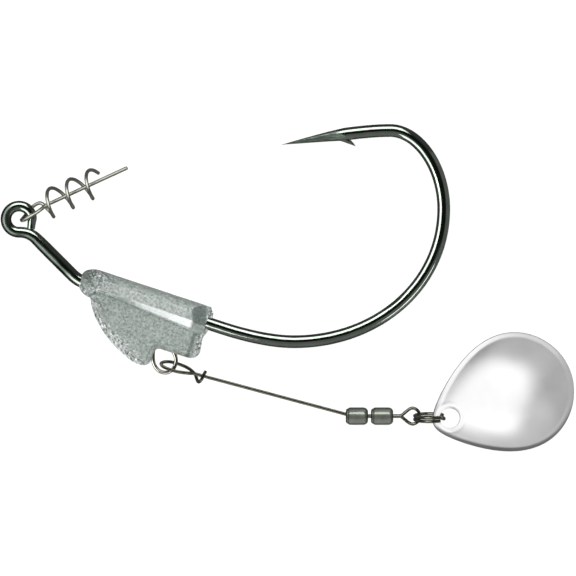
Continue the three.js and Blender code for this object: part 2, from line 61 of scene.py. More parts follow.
RING = joint_at("keeper_swing")
HANG = joint_at("arm_swing")
SWIVEL = joint_at("link_spin")
LOOP_TIP = joint_at("split_ring_swing")
BLADE_PIN = joint_at("blade_swing")
PLANE_Z = RING[2]


def near(anchor, x, y, z=0.0):
    """A point given from an anchor, in millimetres."""
    return np.array([anchor[0] + x, anchor[1] + y, anchor[2] + z])


# Hook
HOOK_WIRE = 2.15
RING_WIRE = 1.8
RING_END_WIRE = 1.3
RING_RADIUS = 2.18
RING_END_LENGTH = 1.25
RING_END_LEAN = 0.2
RING_TURN = 1.5 * math.pi
RING_TAPER = 3.5
SHANK_TAPER = 6.0
CRANK = near(RING, 9.78, -10.17)
SHANK_ANGLE = math.radians(-18.3)
SHANK_LENGTH = 25.0
BEND_BOTTOM = near(RING, 45.83, -20.42)
BEND_SIDE = near(RING, 70.78, 1.73)
BEND_TOP = near(RING, 61.83, 14.78)
HOOK_TIP = near(RING, 43.83, 12.43)
LOWER_FULLNESS = 0.565
UPPER_FULLNESS = 0.53
POINT_LENGTH = 10.6
TIP_HALF_SIZE = 0.05
SIDE_GRIND = 0.9
FLAT_GRIND = 0.75
FRONT_EASE = 1.1
CRANK_EASE_IN = 0.9
CRANK_EASE_OUT = 1.3
SHANK_RUN = 3.9
BOTTOM_RUN = 4.0
TOP_RUN = 5.0
TIP_RUN = (6.5, 1.15)
FACET_TILT = math.radians(75)
FACET_DEPTH = 0.76
FACET_RUN = 3.2
FACET_LEAD = 0.6
FACET_CLEAR = 1.02
RING_CLOSING = 0.42
BARB = [near(RING, x, y) for x, y in (
    (53.2, 13.6), (54.1, 13.37), (55.0, 12.93), (55.53, 12.6), (56.05, 12.2),
)]
BARB_SHARES = (0.0, 0.29, 0.61, 0.8, 1.0)
BARB_RADII = (0.42, 0.45, 0.37, 0.23, 0.04)
HOOK_SAMPLES = 1400

# Along the hook's wire: where its painted shade fades in, and out again on the ring and the crank
HOOK_SHADE_START = (5.5, 7.0)
HOOK_SHADE_RING_END = (11.2, 9.6)
HOOK_SHADE_CRANK_END = (25.5, 22.0)

# Keel weight, in the shank's own frame: s along it, t across it, z out of the hook's plane
WEDGE_START = 0.35
WEDGE_HALF_WIDTH = 3.4
WEDGE_NOSE_HALF_WIDTH = 2.1
WEDGE_TAPER_START = 2.0
WEDGE_TAPER_LENGTH = 11.0
WEDGE_TOP = 2.75
LAND_TOP = 0.9
LAND_BOTTOM = -0.35
WEDGE_BOTTOM = -2.1
BELLY_HALF_WIDTH = 1.45
FIN_HALF_WIDTH = 1.7
FIN_CHAMFER = 0.9
FIN_REAR_CHAMFER = 1.8
FLASH_HALF_WIDTH = 0.42
SLOPE_AT = (2.0, 8.2, 20.4)
SLOPE_DROP = (0.5, 0.75, 1.96)
WEDGE_STRETCHES = ((0, 3.4, 20), (3.8, 19.0, 20), (19.2, 22.3, 26))
NOSE_START = 0.34
NOSE_TOP = 1.0
NOSE_TOP_RUN = 2.86
NOSE_BOTTOM = 0.1
NOSE_BOTTOM_RUN = 2.56
NOSE_WIDTH_SHARE = 0.3
NOSE_WIDTH_RUN = 2.6
TAIL_FACET_START = 19.9
TAIL_FACET_SLOPE = 0.95
TAIL_FACET_LEAN = 0.35
TAIL_FACET_LEVEL = 0.6
TAIL_RIM_HALF_WIDTH = 0.9
KEEL_VOXEL = 0.13

# The casting's skin: noise as (scale, height), and pits where another noise passes a level
SKIN_NOISE = ((1.1, 1.0), (2.9, 1.0), (6.1, 0.8))
SKIN_HEIGHT = 0.022
PIT_SCALE = 2.3
PIT_SHIFT = 9.0
PIT_LEVEL = 0.32
PIT_DEPTH = 0.16
PIT_FREE_HALF_WIDTH = 0.5

# Marks on the casting: where the front with painted glints, the lower side and the painted highlight on the
# bevel fade
FRONT_END = (16.5, 14.5)
FRONT_LEAN = 0.52
BELOW_WEDGE = (-2.0, -2.4)
BEVEL_SLOPE = (0.3, 0.55)
BEVEL_FROM = (1.65, 1.85)
HIGHLIGHT_SHARE = 0.66
HIGHLIGHT_FADE = 0.15

# Wires
HANGER_WIRE = 0.65
ARM_WIRE = 0.55
ARM_FOOT = near(HANG, 5.8, -1.72)
KEEPER_WIRE = 0.6
KEEPER_FOOT = near(RING, 4.63, 2.38, 0.6)
KEEPER_HEADING = math.radians(24.5)
KEEPER_RISE = math.radians(16)
KEEPER_PIN_LENGTH = 15.4
COIL_RADIUS = 2.27
COIL_PITCH = 3.75
COIL_START = 0.05
COIL_TURNS = 2.7
COIL_SLANT = 0.09

# Swivel
BARREL_LENGTH = 3.7
BARREL_RADIUS = 1.45
BARREL_WALL = 0.35
BARREL_GAP = 0.5
WIRE_HOLE = 0.66
SHANK_HOLE = 0.38
PIN_RADIUS = 0.33
PIN_HOLE = 0.4
HEAD_RADIUS = 0.9
HEAD_LENGTH = 0.6
ARM_HEAD = 0.78
RUNNING_GAP = 0.06
FRONT_X = SWIVEL[0] - BARREL_GAP / 2 - BARREL_LENGTH
REAR_X = SWIVEL[0] + BARREL_GAP / 2
EYE_WIRE = 0.54
EYE_SHANK = 0.32

# Split ring
SPLIT_WIRE = 0.55
SPLIT_RADIUS = 2.45
SPLIT_PITCH = 0.6
SPLIT_TURN = math.radians(652)
SPLIT_STEP = (math.radians(298), math.radians(358))
SPLIT_CENTRE = near(LOOP_TIP, 1.61, -0.25)
SPLIT_LEAN = math.radians(8)

# Blade
BLADE_HOLE = near(BLADE_PIN, 0.92, -0.08)
BLADE_HOLE_RADIUS = 1.63
BLADE_HEADING = math.radians(21.8)
BLADE_CENTRE = 9.53
BLADE_HALF_LENGTH = 12.35
BLADE_HALF_WIDTH = 9.6
BLADE_DEPTH = 3.3
BLADE_THICKNESS = 0.5
FLANGE_SHARE = 0.93
CROWN_POWER = 2.2
FLANGE_SLOPE = 0.52
TURNED_SLOPE = 2.3
PLAIN_SIDE = math.radians(246)
PLAIN_FADE = 2.6
LIP_SIDE = math.radians(60)
LIP_DEPTH = 0.2
LIP_RUN = 0.3
LIP_LEAST = 0.1
SWELL_HEIGHT = 0.035
SWELL_AT = 0.8
SWELL_RUN = 0.28
HOLE_EDGE = 0.05
RIM_EDGE = 0.16
EDGE_START = 0.3
EDGE_ROWS = 6
BLADE_SPOKES = 256
BLADE_STRETCHES = ((0, 0.12, 22), (0.12, 0.8, 44), (0.8, 1, 36))


# ---- Curves and meshes ----

def bezier(*points, count=60):
    """Points along a Bezier curve of any degree."""
    t = np.linspace(0, 1, count)[:, None]
    degree = len(points) - 1
    total = 0
    for i, point in enumerate(points):
        total = total + math.comb(degree, i) * t ** i * (1 - t) ** (degree - i) * np.array(point)
    return total


def spline(points, count=24):
    """A centripetal Catmull-Rom curve through points, the one that the CAD model uses."""
    p = np.array(points, float)
    p = np.vstack([2 * p[0] - p[1], p, 2 * p[-1] - p[-2]])
    t = np.linspace(0, 1, count, endpoint=False)[:, None]
    pieces = []
    for a, b, c, d in zip(p, p[1:], p[2:], p[3:]):
        before, across, after = (math.sqrt(np.linalg.norm(q - r)) for q, r in ((b, a), (c, b), (d, c)))
        leave = (b - a) / before - (c - a) / (before + across) + (c - b) / across
        arrive = (c - b) / across - (d - b) / (across + after) + (d - c) / after
        leave, arrive = leave * across, arrive * across
        cube = 2 * b - 2 * c + leave + arrive
        square = -3 * b + 3 * c - 2 * leave - arrive
        pieces.append(b + leave * t + square * t ** 2 + cube * t ** 3)
    return np.vstack(pieces + [p[-2:-1]])


def chain(*pieces):
    """Curves joined end to end, without the repeated points."""
    return np.vstack([pieces[0]] + [piece[1:] for piece in pieces[1:]])


def lengths(path):
    """How far along a path each of its points is."""
    return np.concatenate([[0], np.cumsum(np.linalg.norm(np.diff(path, axis=0), axis=1))])


def sampled(vectors, along, distances):
    """Vectors that are given along a path, at other distances along it."""
    return np.stack([np.interp(distances, along, vectors[:, k]) for k in range(3)], 1)


def at(path, distances):
    """The points at given distances along a path."""
    return sampled(path, lengths(path), distances)


def unit(vectors):
    return vectors / np.maximum(np.linalg.norm(vectors, axis=-1, keepdims=True), 1e-12)


def cross_frames(path, up=None):
    """Two unit vectors across a path at each of its points, turning no more than the path does."""
    tangent = unit(np.gradient(path, axis=0))
    if up is not None:
        ups = np.tile(np.array(up, float), (len(path), 1))
        return unit(np.cross(ups, tangent)), ups
    side = np.cross(tangent[0], [0, 0, 1] if abs(tangent[0][2]) < 0.9 else [1, 0, 0])
    sides = []
    for direction in tangent:
        side = side - direction * side.dot(direction)
        side = side / np.linalg.norm(side)
        sides.append(side)
    sides = np.array(sides)
    return sides, np.cross(tangent, sides)


def make_object(name, vertices, faces, grain=None):
    """A mesh object from millimetres. grain is a vector for each vertex that materials follow."""
    mesh = bpy.data.meshes.new(name)
    mesh.from_pydata((np.array(vertices) * MM).tolist(), [], [list(map(int, face)) for face in faces])
    made = bpy.data.objects.new(name, mesh)
    if grain is not None:
        set_grain(made, grain)
    mesh.update()
    bpy.context.scene.collection.objects.link(made)
    return made


def grid_faces(rows, columns, joined=False):
    """Quads between the rows of a grid of vertices whose rows are rings; joined adds last row to first."""
    return [
        (i * columns + j, i * columns + (j + 1) % columns,
         (i + 1) % rows * columns + (j + 1) % columns, (i + 1) % rows * columns + j)
        for i in range(rows if joined else rows - 1) for j in range(columns)
    ]


def fan_ends(rows, columns):
    """Triangles that close a grid's first and last rings, each to a centre that follows the grid."""
    first = rows * columns
    end = first - columns
    fans = [(first, (j + 1) % columns, j) for j in range(columns)]
    return fans + [(first + 1, end + j, end + (j + 1) % columns) for j in range(columns)]


def tube(name, path, radius, sides=24, up=None, spacing=0.12, edge=0.12):
    """A closed wire along a path, its ends softened over the length edge.

    radius(s, angle) gives the wire's radius for a column of distances and a row of angles.
    """
    total = lengths(path)[-1]
    fillet = np.linspace(0, math.pi / 2, 6)[1:]
    start = edge * (1 - np.sin(fillet[::-1]))
    cut = edge * (1 - np.cos(fillet[::-1]))
    body = np.linspace(edge, total - edge, max(8, int(total / spacing)))
    s = np.concatenate([start, body, total - start[::-1]])
    shrink = np.concatenate([cut, np.zeros(len(body)), cut[::-1]])
    centre = at(path, s)
    dense = at(path, np.linspace(0, total, max(200, int(total / 0.05))))
    across, upward = cross_frames(dense, up)
    places = np.linspace(0, total, len(dense))
    across, upward = (unit(sampled(vectors, places, s)) for vectors in (across, upward))
    angle = np.arange(sides) / sides * 2 * math.pi
    size = radius(s[:, None], angle[None, :]) * np.ones((len(s), sides))
    size = np.maximum(size - shrink[:, None], 0.2 * size)
    ring = (
        centre[:, None, :]
        + (size * np.cos(angle))[..., None] * across[:, None, :]
        + (size * np.sin(angle))[..., None] * upward[:, None, :]
    )
    mean = float(size.mean())
    flat = 0 * size
    grain = np.stack([flat + np.cos(angle), flat + np.sin(angle), flat + (s / mean)[:, None]], 2)
    vertices = np.vstack([ring.reshape(-1, 3), centre[:1], centre[-1:]])
    grain = np.vstack([grain.reshape(-1, 3), [[0, 0, 0]], [[0, 0, total / mean]]])
    return make_object(name, vertices, grid_faces(len(s), sides) + fan_ends(len(s), sides), grain)


def lofted(name, rows):
    """A solid through rows of points, closed by a flat face at each end."""
    columns = len(rows[0])
    vertices = [p for row in rows for p in row]
    faces = grid_faces(len(rows), columns)
    faces += [tuple(range(columns))[::-1], tuple(range(len(vertices) - columns, len(vertices)))]
    return make_object(name, vertices, faces)


def even(thickness):
    """The radius of a round wire of even thickness."""
    return lambda s, angle: thickness / 2 + 0 * s + 0 * angle


def turned(name, profile, segments=72, dent=None):
    """A profile of (x, radius) points turned about the swivel's axis.

    A profile that ends on the axis gets capped ends; any other one is joined end to start.
    """
    profile = np.array(profile, float)
    capped = profile[0][1] == 0
    inner = profile[1:-1] if capped else profile[:-1]
    angle = np.arange(segments) / segments * 2 * math.pi
    radius = inner[:, 1:2] * np.ones((1, segments))
    if dent is not None:
        radius = radius * dent(inner[:, :1], angle[None, :])
    x = inner[:, :1] * np.ones((1, segments))
    ring = np.stack([x, SWIVEL[1] + radius * np.cos(angle), SWIVEL[2] + radius * np.sin(angle)], 2)
    grain = np.stack([0 * x + np.cos(angle), 0 * x + np.sin(angle), x], 2).reshape(-1, 3)
    vertices = ring.reshape(-1, 3)
    faces = grid_faces(len(inner), segments, joined=not capped)
    if capped:
        ends = profile[0][0], profile[-1][0]
        vertices = np.vstack([vertices, [[end, SWIVEL[1], SWIVEL[2]] for end in ends]])
        grain = np.vstack([grain, [[0, 0, end] for end in ends]])
        faces += fan_ends(len(inner), segments)
    return make_object(name, vertices, faces, grain)


def evaluated_mesh(made):
    """Puts the result of an object's modifiers in place of its mesh."""
    depsgraph = bpy.context.evaluated_depsgraph_get()
    mesh = bpy.data.meshes.new_from_object(made.evaluated_get(depsgraph))
    made.modifiers.clear()
    made.data = mesh
    return made


def outward(made):
    """Turns a closed mesh's faces outward."""
    loose = bmesh.new()
    loose.from_mesh(made.data)
    bmesh.ops.recalc_face_normals(loose, faces=loose.faces)
    loose.to_mesh(made.data)
    loose.free()
    return made


def combined(made, others, crossing=False):
    """One object fused with others, which are used up. crossing is for a mesh that runs through itself."""
    for other in others:
        modifier = outward(made).modifiers.new("fuse", "BOOLEAN")
        modifier.operation = "UNION"
        modifier.solver = "EXACT"
        modifier.use_self = crossing
        modifier.object = outward(other)
        evaluated_mesh(made)
        bpy.data.objects.remove(other)
    return made


def positions(made):
    """A mesh's vertices in millimetres."""
    flat = np.zeros(len(made.data.vertices) * 3, np.float32)
    made.data.vertices.foreach_get("co", flat)
    return flat.reshape(-1, 3).astype(float) / MM


def set_grain(made, vectors):
    """Stores the vector that materials follow at each vertex."""
    attributes = made.data.attributes
    attribute = attributes.get("grain") or attributes.new("grain", "FLOAT_VECTOR", "POINT")
    attribute.data.foreach_set("vector", np.array(vectors, np.float32).ravel())


def place(made, vertices):
    """Moves a mesh's vertices, given in millimetres."""
    made.data.vertices.foreach_set("co", (np.array(vertices) * MM).astype(np.float32).ravel())
    made.data.update()


def mark(made, name, values):
    """Stores a number for each vertex, from 0 to 1, that materials read."""
    attribute = made.data.attributes.get(name) or made.data.attributes.new(name, "FLOAT", "POINT")
    attribute.data.foreach_set("value", np.clip(values, 0, 1).astype(np.float32))


def fade(x, low, high):
    """A smooth step from 0 at low to 1 at high; low may be the larger."""
    t = np.clip((np.asarray(x, float) - low) / (high - low), 0, 1)
    return t * t * (3 - 2 * t)


def shank_point(s, t, z=0.0):
    """The place of a point that is given in the shank's own frame."""
    c, d = math.cos(SHANK_ANGLE), math.sin(SHANK_ANGLE)
    return np.array([CRANK[0] + s * c - t * d, CRANK[1] + s * d + t * c, PLANE_Z + z])


def shank_frame(points):
    """Points turned into the shank's own frame."""
    c, d = math.cos(SHANK_ANGLE), math.sin(SHANK_ANGLE)
    x, y = points[:, 0] - CRANK[0], points[:, 1] - CRANK[1]
    return np.stack([x * c + y * d, y * c - x * d, points[:, 2] - PLANE_Z], 1)


# ---- Materials ----

class Nodes:
    """The node tree of a material or world: s.add(type, {input: value or socket}, property=value)."""

    def __init__(self, owner):
        owner.use_nodes = True
        self.tree = owner.node_tree
        self.tree.nodes.clear()

    def add(self, kind, inputs=None, **properties):
        node = self.tree.nodes.new("ShaderNode" + kind)
        for key, value in properties.items():
            setattr(node, key, value)
        self.set(node, inputs or {})
        return node

    def set(self, node, inputs):
        for key, value in inputs.items():
            if isinstance(value, bpy.types.NodeSocket):
                self.tree.links.new(value, node.inputs[key])
            else:
                node.inputs[key].default_value = value

    def grain(self):
        return self.add("Attribute", attribute_name="grain").outputs["Vector"]

    def share(self, name):
        return self.add("Attribute", attribute_name=name).outputs["Fac"]

    def place(self):
        return self.add("TexCoord").outputs["Object"]

    def stretched(self, vector, scale):
        return self.add("Mapping", {"Vector": vector, "Scale": scale}).outputs[0]

    def noise(self, vector, scale, detail=4.0, roughness=0.55):
        inputs = {"Vector": vector, "Scale": scale, "Detail": detail, "Roughness": roughness}
        return self.add("TexNoise", inputs).outputs["Fac"]

    def ramp(self, value, low, high, to_low=0.0, to_high=1.0):
        inputs = {"Value": value, "From Min": low, "From Max": high, "To Min": to_low, "To Max": to_high}
        return self.add("MapRange", inputs, interpolation_type="SMOOTHSTEP").outputs[0]

    def blend(self, share, a, b):
        a, b = ((*colour, 1.0) if isinstance(colour, tuple) else colour for colour in (a, b))
        return self.add("Mix", {0: share, 6: a, 7: b}, data_type="RGBA").outputs[2]

    def math(self, operation, a, b):
        return self.add("Math", {0: a, 1: b}, operation=operation).outputs[0]

    def times(self, a, b):
        return self.math("MULTIPLY", a, b)

    def plus(self, a, b):
        return self.math("ADD", a, b)

    def bump(self, height, distance, strength=1.0, normal=None):
        inputs = {"Height": height, "Distance": distance, "Strength": strength}
        if normal is not None:
            inputs["Normal"] = normal
        return self.add("Bump", inputs).outputs[0]


class Shader(Nodes):
    """A material with one principled surface."""

    def __init__(self, name):
        self.material = bpy.data.materials.new(name)
        super().__init__(self.material)
        self.surface = self.add("BsdfPrincipled")
        self.add("OutputMaterial", {0: self.surface.outputs[0]})


# Darker satin for the hook's ground point, partly painted shade, and the painted shade colours for its ring
# and crank
GROUND_SATIN_SHADE = ((0.045, 0.058, 0.047), (0.105, 0.125, 0.108))
HOOK_SHADE_COLOURS = ((0.032, 0.041, 0.034), (0.07, 0.084, 0.073))


def plated_wire(name, colour, shade, roughness, spread, lines, ground):
    """Plated wire: drawing lines along it and faint blotches in its plating.

    ground adds the hook's satin grind, its colour partly painted shade, and the painted shade on its ring
    and crank, where the mesh is marked for them.
    """
    s = Shader(name)
    drawn = s.noise(s.stretched(s.grain(), (7.0, 7.0, 0.22)), 3.0, 6.0, 0.6)
    blotch = s.noise(s.place(), 420.0, 5.0, 0.6)
    fine = s.noise(s.place(), 5200.0, 3.0, 0.5)
    colour_out = s.blend(s.ramp(blotch, 0.3, 0.7), shade, colour)
    uneven = s.plus(s.times(drawn, 0.6), s.times(blotch, 0.4))
    rough_out = s.ramp(uneven, 0.3, 0.7, roughness, roughness + spread)
    height = s.plus(drawn, s.times(fine, 0.25))
    if ground:
        share = s.share("ground")
        strokes = s.noise(s.stretched(s.place(), (0.16, 1.0, 1.0)), 5200.0, 4.0, 0.6)
        # Painted shade: the marked ring and crank take a darker, blotchy colour and more roughness
        hook_painted_shade = s.share("hook_painted_shade")
        # The ground satin colour is partly painted shade
        satin = s.blend(s.ramp(strokes, 0.35, 0.65), *GROUND_SATIN_SHADE)
        hook_shade_colour = s.blend(s.ramp(blotch, 0.3, 0.7), *HOOK_SHADE_COLOURS)
        colour_out = s.blend(hook_painted_shade, colour_out, hook_shade_colour)
        colour_out = s.blend(share, colour_out, satin)
        rough_out = s.plus(rough_out, s.times(share, 0.38))
        haze = s.ramp(blotch, 0.35, 0.65, 0.07, 0.22)
        rough_out = s.plus(rough_out, s.times(hook_painted_shade, haze))
        height = s.plus(height, s.times(s.times(strokes, share), 3.0))
    s.set(s.surface, {
        "Base Color": colour_out, "Metallic": 1.0, "Roughness": rough_out,
        "Normal": s.bump(height, lines),
    })
    return s.material


def cast_lead():
    """Bare cast lead: small crystals tilted at random with painted glints, edges pale with wear and painted
    light, a painted highlight along the flank, and painted shade in hollows.
    """
    s = Shader("cast_lead")
    place_of = s.place()
    cloud = s.noise(place_of, 380.0, 5.0, 0.6)
    grain = s.noise(place_of, 2600.0, 6.0, 0.75)
    streak = s.noise(s.stretched(s.grain(), (0.12, 1.0, 1.0)), 3.2, 5.0, 0.7)
    crystal = s.add("TexVoronoi", {"Vector": place_of, "Scale": 3600.0}, feature="F1").outputs["Color"]
    tone = s.add("SeparateColor", {0: crystal})
    painted_glints = s.share("painted_glints")
    # Painted glints: crystals painted near white or dark where the casting is marked for them
    light = s.times(s.ramp(tone.outputs[0], 0.6, 0.8), painted_glints)
    dark = s.times(s.ramp(tone.outputs[1], 0.62, 0.85, 0.0, 0.9), painted_glints)
    # Pale colour for wear on bulging edges, and painted light on the rim, front, chamfer, land and rear
    wear_and_painted_light = s.times(s.share("wear_and_painted_light"), s.ramp(grain, 0.35, 0.6, 0.25, 0.95))
    # Painted highlight: a near-white streaked band along the lower bevel, where the crystals are also
    # smoothed
    painted_highlight = s.times(s.share("painted_highlight"), s.ramp(streak, 0.25, 0.6, 0.7, 1.0))
    base = s.blend(s.ramp(grain, 0.38, 0.62), (0.21, 0.252, 0.23), (0.54, 0.60, 0.56))
    base = s.blend(s.ramp(cloud, 0.35, 0.7, 0.0, 0.4), base, (0.31, 0.37, 0.345))
    base = s.blend(s.ramp(streak, 0.42, 0.7, 0.0, 0.45), base, (0.48, 0.53, 0.49))
    base = s.blend(wear_and_painted_light, base, (0.80, 0.84, 0.83))
    base = s.blend(painted_highlight, base, (0.93, 0.95, 0.96))
    base = s.blend(light, base, (0.98, 0.99, 0.98))
    base = s.blend(dark, base, (0.12, 0.15, 0.14))
    # Painted shade: dark colour on the tail facets, in crevices, on the seam and at the nose's shoulder
    base = s.blend(s.times(s.share("lead_painted_shade"), 0.85), base, (0.12, 0.155, 0.14))
    rough = s.ramp(s.math("SUBTRACT", s.times(grain, 0.7), s.times(light, 0.4)),
                   0.0, 0.6, 0.26, 0.5)
    spread = s.plus(s.times(painted_glints, 0.6), 0.42)
    spread = s.times(spread, s.math("SUBTRACT", 1.0, s.times(s.share("painted_highlight"), 0.8)))
    tilt = s.add("VectorMath", {0: crystal, 1: (0.5, 0.5, 0.5)}, operation="SUBTRACT").outputs[0]
    tilt = s.add("VectorMath", {0: tilt, "Scale": spread}, operation="SCALE").outputs[0]
    normal = s.add("NewGeometry").outputs["Normal"]
    normal = s.add("VectorMath", {0: normal, 1: tilt}, operation="ADD").outputs[0]
    normal = s.add("VectorMath", {0: normal}, operation="NORMALIZE").outputs[0]
    height = s.plus(grain, s.times(streak, 0.3))
    s.set(s.surface, {
        "Base Color": base, "Metallic": 0.4, "Roughness": rough,
        "Normal": s.bump(height, 0.00008, normal=normal),
    })
    return s.material


def silver_plate():
    """Silver plate on the blade: a satin polish, faintly clouded, with hairline scratches."""
    s = Shader("silver_plate")
    place_of = s.place()
    hair = s.noise(s.stretched(place_of, (1.0, 0.05, 1.0)), 4200.0, 4.0, 0.6)
    cloud = s.noise(place_of, 190.0, 4.0, 0.5)
    rough = s.ramp(s.plus(s.times(hair, 0.3), s.times(cloud, 0.7)), 0.3, 0.7, 0.3, 0.37)
    s.set(s.surface, {
        "Base Color": s.blend(s.ramp(cloud, 0.3, 0.7), (0.88, 0.88, 0.885), (0.93, 0.93, 0.93)),
        "Metallic": 1.0, "Roughness": rough, "Normal": s.bump(hair, 0.0000004),
    })
    return s.material


# Colour, shade, roughness and its spread, depth of the drawing lines in metres, ground or not
PLATINGS = {
    "black_nickel": ((0.23, 0.262, 0.228), (0.188, 0.216, 0.187), 0.05, 0.09, 0.000004, True),
    "bright_nickel": ((0.86, 0.83, 0.75), (0.70, 0.67, 0.59), 0.1, 0.12, 0.000004, False),
    "dark_wire": ((0.36, 0.355, 0.285), (0.22, 0.225, 0.18), 0.12, 0.12, 0.000006, False),
    "smoked_nickel": ((0.40, 0.425, 0.37), (0.28, 0.30, 0.258), 0.24, 0.14, 0.000008, False),
    "spring_steel": ((0.60, 0.615, 0.53), (0.45, 0.46, 0.39), 0.27, 0.14, 0.000007, False),
}
MATERIALS = {name: plated_wire(name, *plating) for name, plating in PLATINGS.items()}
MATERIALS["cast_lead"] = cast_lead()
MATERIALS["silver_plate"] = silver_plate()


def finish_piece(made, node, body, slot, crease=38.0):
    """Shades a piece, gives it its material and puts it in its CAD node's place."""
    outward(made)
    mesh = made.data
    mesh.polygons.foreach_set("use_smooth", [True] * len(mesh.polygons))
    mesh.set_sharp_from_angle(angle=math.radians(crease))
    mesh.materials.clear()
    mesh.materials.append(MATERIALS[slot])
    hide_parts(node)
    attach(made, body)


# ---- Hook ----

def hook_path():
    """The wire's centre line from the end of its ring to the tip of its point."""
    ring_side = near(RING, RING_RADIUS, 0)
    ring_end = near(ring_side, -RING_END_LEAN, -RING_END_LENGTH - RING_CLOSING)
    turn = np.linspace(0, RING_TURN, 160)
    ring = np.stack([
        RING[0] + RING_RADIUS * np.cos(turn), RING[1] + RING_RADIUS * np.sin(turn), PLANE_Z + 0 * turn,
    ], 1)
    bottom = near(RING, 0, -RING_RADIUS)
    front = np.array([CRANK[0] + CRANK[1] - bottom[1], bottom[1], PLANE_Z])
    front_start = near(front, FRONT_EASE, -FRONT_EASE)
    crank_start = near(CRANK, -CRANK_EASE_IN, CRANK_EASE_IN)
    crank_end = shank_point(CRANK_EASE_OUT, 0)
    shank_end = shank_point(SHANK_LENGTH, 0)
    rise = BEND_SIDE[1] - BEND_BOTTOM[1]
    reach = BEND_SIDE[0] - BEND_BOTTOM[0]
    top_rise = BEND_TOP[1] - BEND_SIDE[1]
    top_reach = BEND_TOP[0] - BEND_SIDE[0]
    return chain(
        np.array([ring_end, ring_side]),
        ring,
        bezier(bottom, front, front_start),
        np.array([front_start, crank_start]),
        bezier(crank_start, CRANK, crank_end),
        np.array([crank_end, shank_end]),
        bezier(shank_end, shank_point(SHANK_LENGTH + SHANK_RUN, 0),
               near(BEND_BOTTOM, -BOTTOM_RUN, 0), BEND_BOTTOM, count=120),
        bezier(BEND_BOTTOM, near(BEND_BOTTOM, reach * LOWER_FULLNESS, 0),
               near(BEND_SIDE, 0, -rise * LOWER_FULLNESS), BEND_SIDE, count=400),
        bezier(BEND_SIDE, near(BEND_SIDE, 0, top_rise * UPPER_FULLNESS),
               near(BEND_TOP, -top_reach * UPPER_FULLNESS, 0), BEND_TOP, count=240),
        bezier(BEND_TOP, near(BEND_TOP, -TOP_RUN, 0), near(HOOK_TIP, *TIP_RUN), HOOK_TIP, count=240),
    )


def facet_depth(s, total):
    """How far each of the point's two ground facets lies from the wire's centre, in wire radii."""
    start = total - POINT_LENGTH - FACET_LEAD
    return FACET_CLEAR - (FACET_CLEAR - FACET_DEPTH) * fade(s, start, start + FACET_RUN)


def hook_radius(total):
    """The wire's radius: thin at the ring's end, full along the bend, and ground to a faceted point."""
    ring_length = RING_END_LENGTH + RING_TURN * RING_RADIUS

    def radius(s, angle):
        to_ring = fade(s, 0, RING_TAPER)
        to_shank = fade(s, ring_length, ring_length + SHANK_TAPER)
        ring_wire = RING_END_WIRE + (RING_WIRE - RING_END_WIRE) * to_ring
        full = (ring_wire + (HOOK_WIRE - ring_wire) * to_shank) / 2
        left = np.clip((total - s) / POINT_LENGTH, 0, 1)
        across = np.maximum(TIP_HALF_SIZE, full * left ** SIDE_GRIND)
        upward = np.maximum(TIP_HALF_SIZE, full * left ** FLAT_GRIND)
        round_size = 1 / np.sqrt((np.cos(angle) / across) ** 2 + (np.sin(angle) / upward) ** 2)
        depth = facet_depth(s, total)
        for facet in (FACET_TILT, -FACET_TILT):
            facing = np.maximum(np.cos(angle - facet), 0.05)
            round_size = np.minimum(round_size, upward * depth / facing)
        return round_size
    return radius


def build_hook():
    path = hook_path()
    total = lengths(path)[-1]
    made = tube("hook_wire", path, hook_radius(total), sides=48, up=(0, 0, 1), spacing=0.16, edge=0.1)
    spike = spline(BARB)
    reach = lengths(spike)[-1]

    def barb_radius(s, angle):
        thin = np.interp(s / reach, BARB_SHARES, BARB_RADII)
        return thin * (1 + 0.7 * np.abs(np.sin(angle)) * (1 - s / reach))

    barb = tube("barb", spike, barb_radius, sides=24, up=(0, 0, 1), spacing=0.06, edge=0.02)
    combined(made, [barb])
    points = positions(made)
    centre_line = at(path, np.linspace(0, total, HOOK_SAMPLES))
    across, upward = cross_frames(centre_line, (0, 0, 1))
    nearest = np.array([np.argmin(((centre_line - p) ** 2).sum(1)) for p in points])
    offset = points - centre_line[nearest]
    side = (offset * across[nearest]).sum(1)
    lift = (offset * upward[nearest]).sum(1)
    s = nearest / (HOOK_SAMPLES - 1) * total
    angle = np.arctan2(lift, side)
    set_grain(made, np.stack([np.cos(angle), np.sin(angle), s], 1))
    on_facet = np.maximum(np.cos(angle - FACET_TILT), np.cos(angle + FACET_TILT))
    facet = fade(on_facet - facet_depth(s, total), -0.02, 0.03)
    point_start = total - POINT_LENGTH
    # The ground facets and the whole point take the darker satin, partly painted shade that dims the
    # point's highlight
    mark(made, "ground", np.maximum(facet, fade(s, point_start + 0.2, point_start + 2.0)))
    # Painted shade on the ring's left side and on the outer side of the crank
    begun = fade(s, *HOOK_SHADE_START)
    ring_side = begun * fade(s, *HOOK_SHADE_RING_END)
    outside = fade(np.cos(angle), 0.15, -0.25) * begun * fade(s, *HOOK_SHADE_CRANK_END)
    mark(made, "hook_painted_shade", np.maximum(ring_side, outside))
    finish_piece(made, "hook", "hook_body", "black_nickel", crease=24.0)


# ---- Keel weight ----

def wedge_section(s, count=14):
    """Half of the wedge's section as (z, t) points: rounded back, flat land and slope to the belly."""
    share = min(1, max(0, (s - WEDGE_TAPER_START) / WEDGE_TAPER_LENGTH))
    width = WEDGE_NOSE_HALF_WIDTH + (WEDGE_HALF_WIDTH - WEDGE_NOSE_HALF_WIDTH) * share
    slope = float(np.interp(s, SLOPE_AT, SLOPE_DROP))
    turn = np.linspace(0, math.pi / 2, count)
    back = [(width * math.sin(a), LAND_TOP + (WEDGE_TOP - LAND_TOP) * math.cos(a) ** 0.85) for a in turn]
    belly = LAND_BOTTOM - slope
    return back + [(width, LAND_BOTTOM), (BELLY_HALF_WIDTH, belly), (BELLY_HALF_WIDTH * 0.9, WEDGE_BOTTOM)]


def arc_share(share):
    """A quarter circle's rise from 0 to 1 while share goes from 0 to 1."""
    share = min(1.0, max(0.0, share))
    return math.sqrt(1 - (1 - share) ** 2)


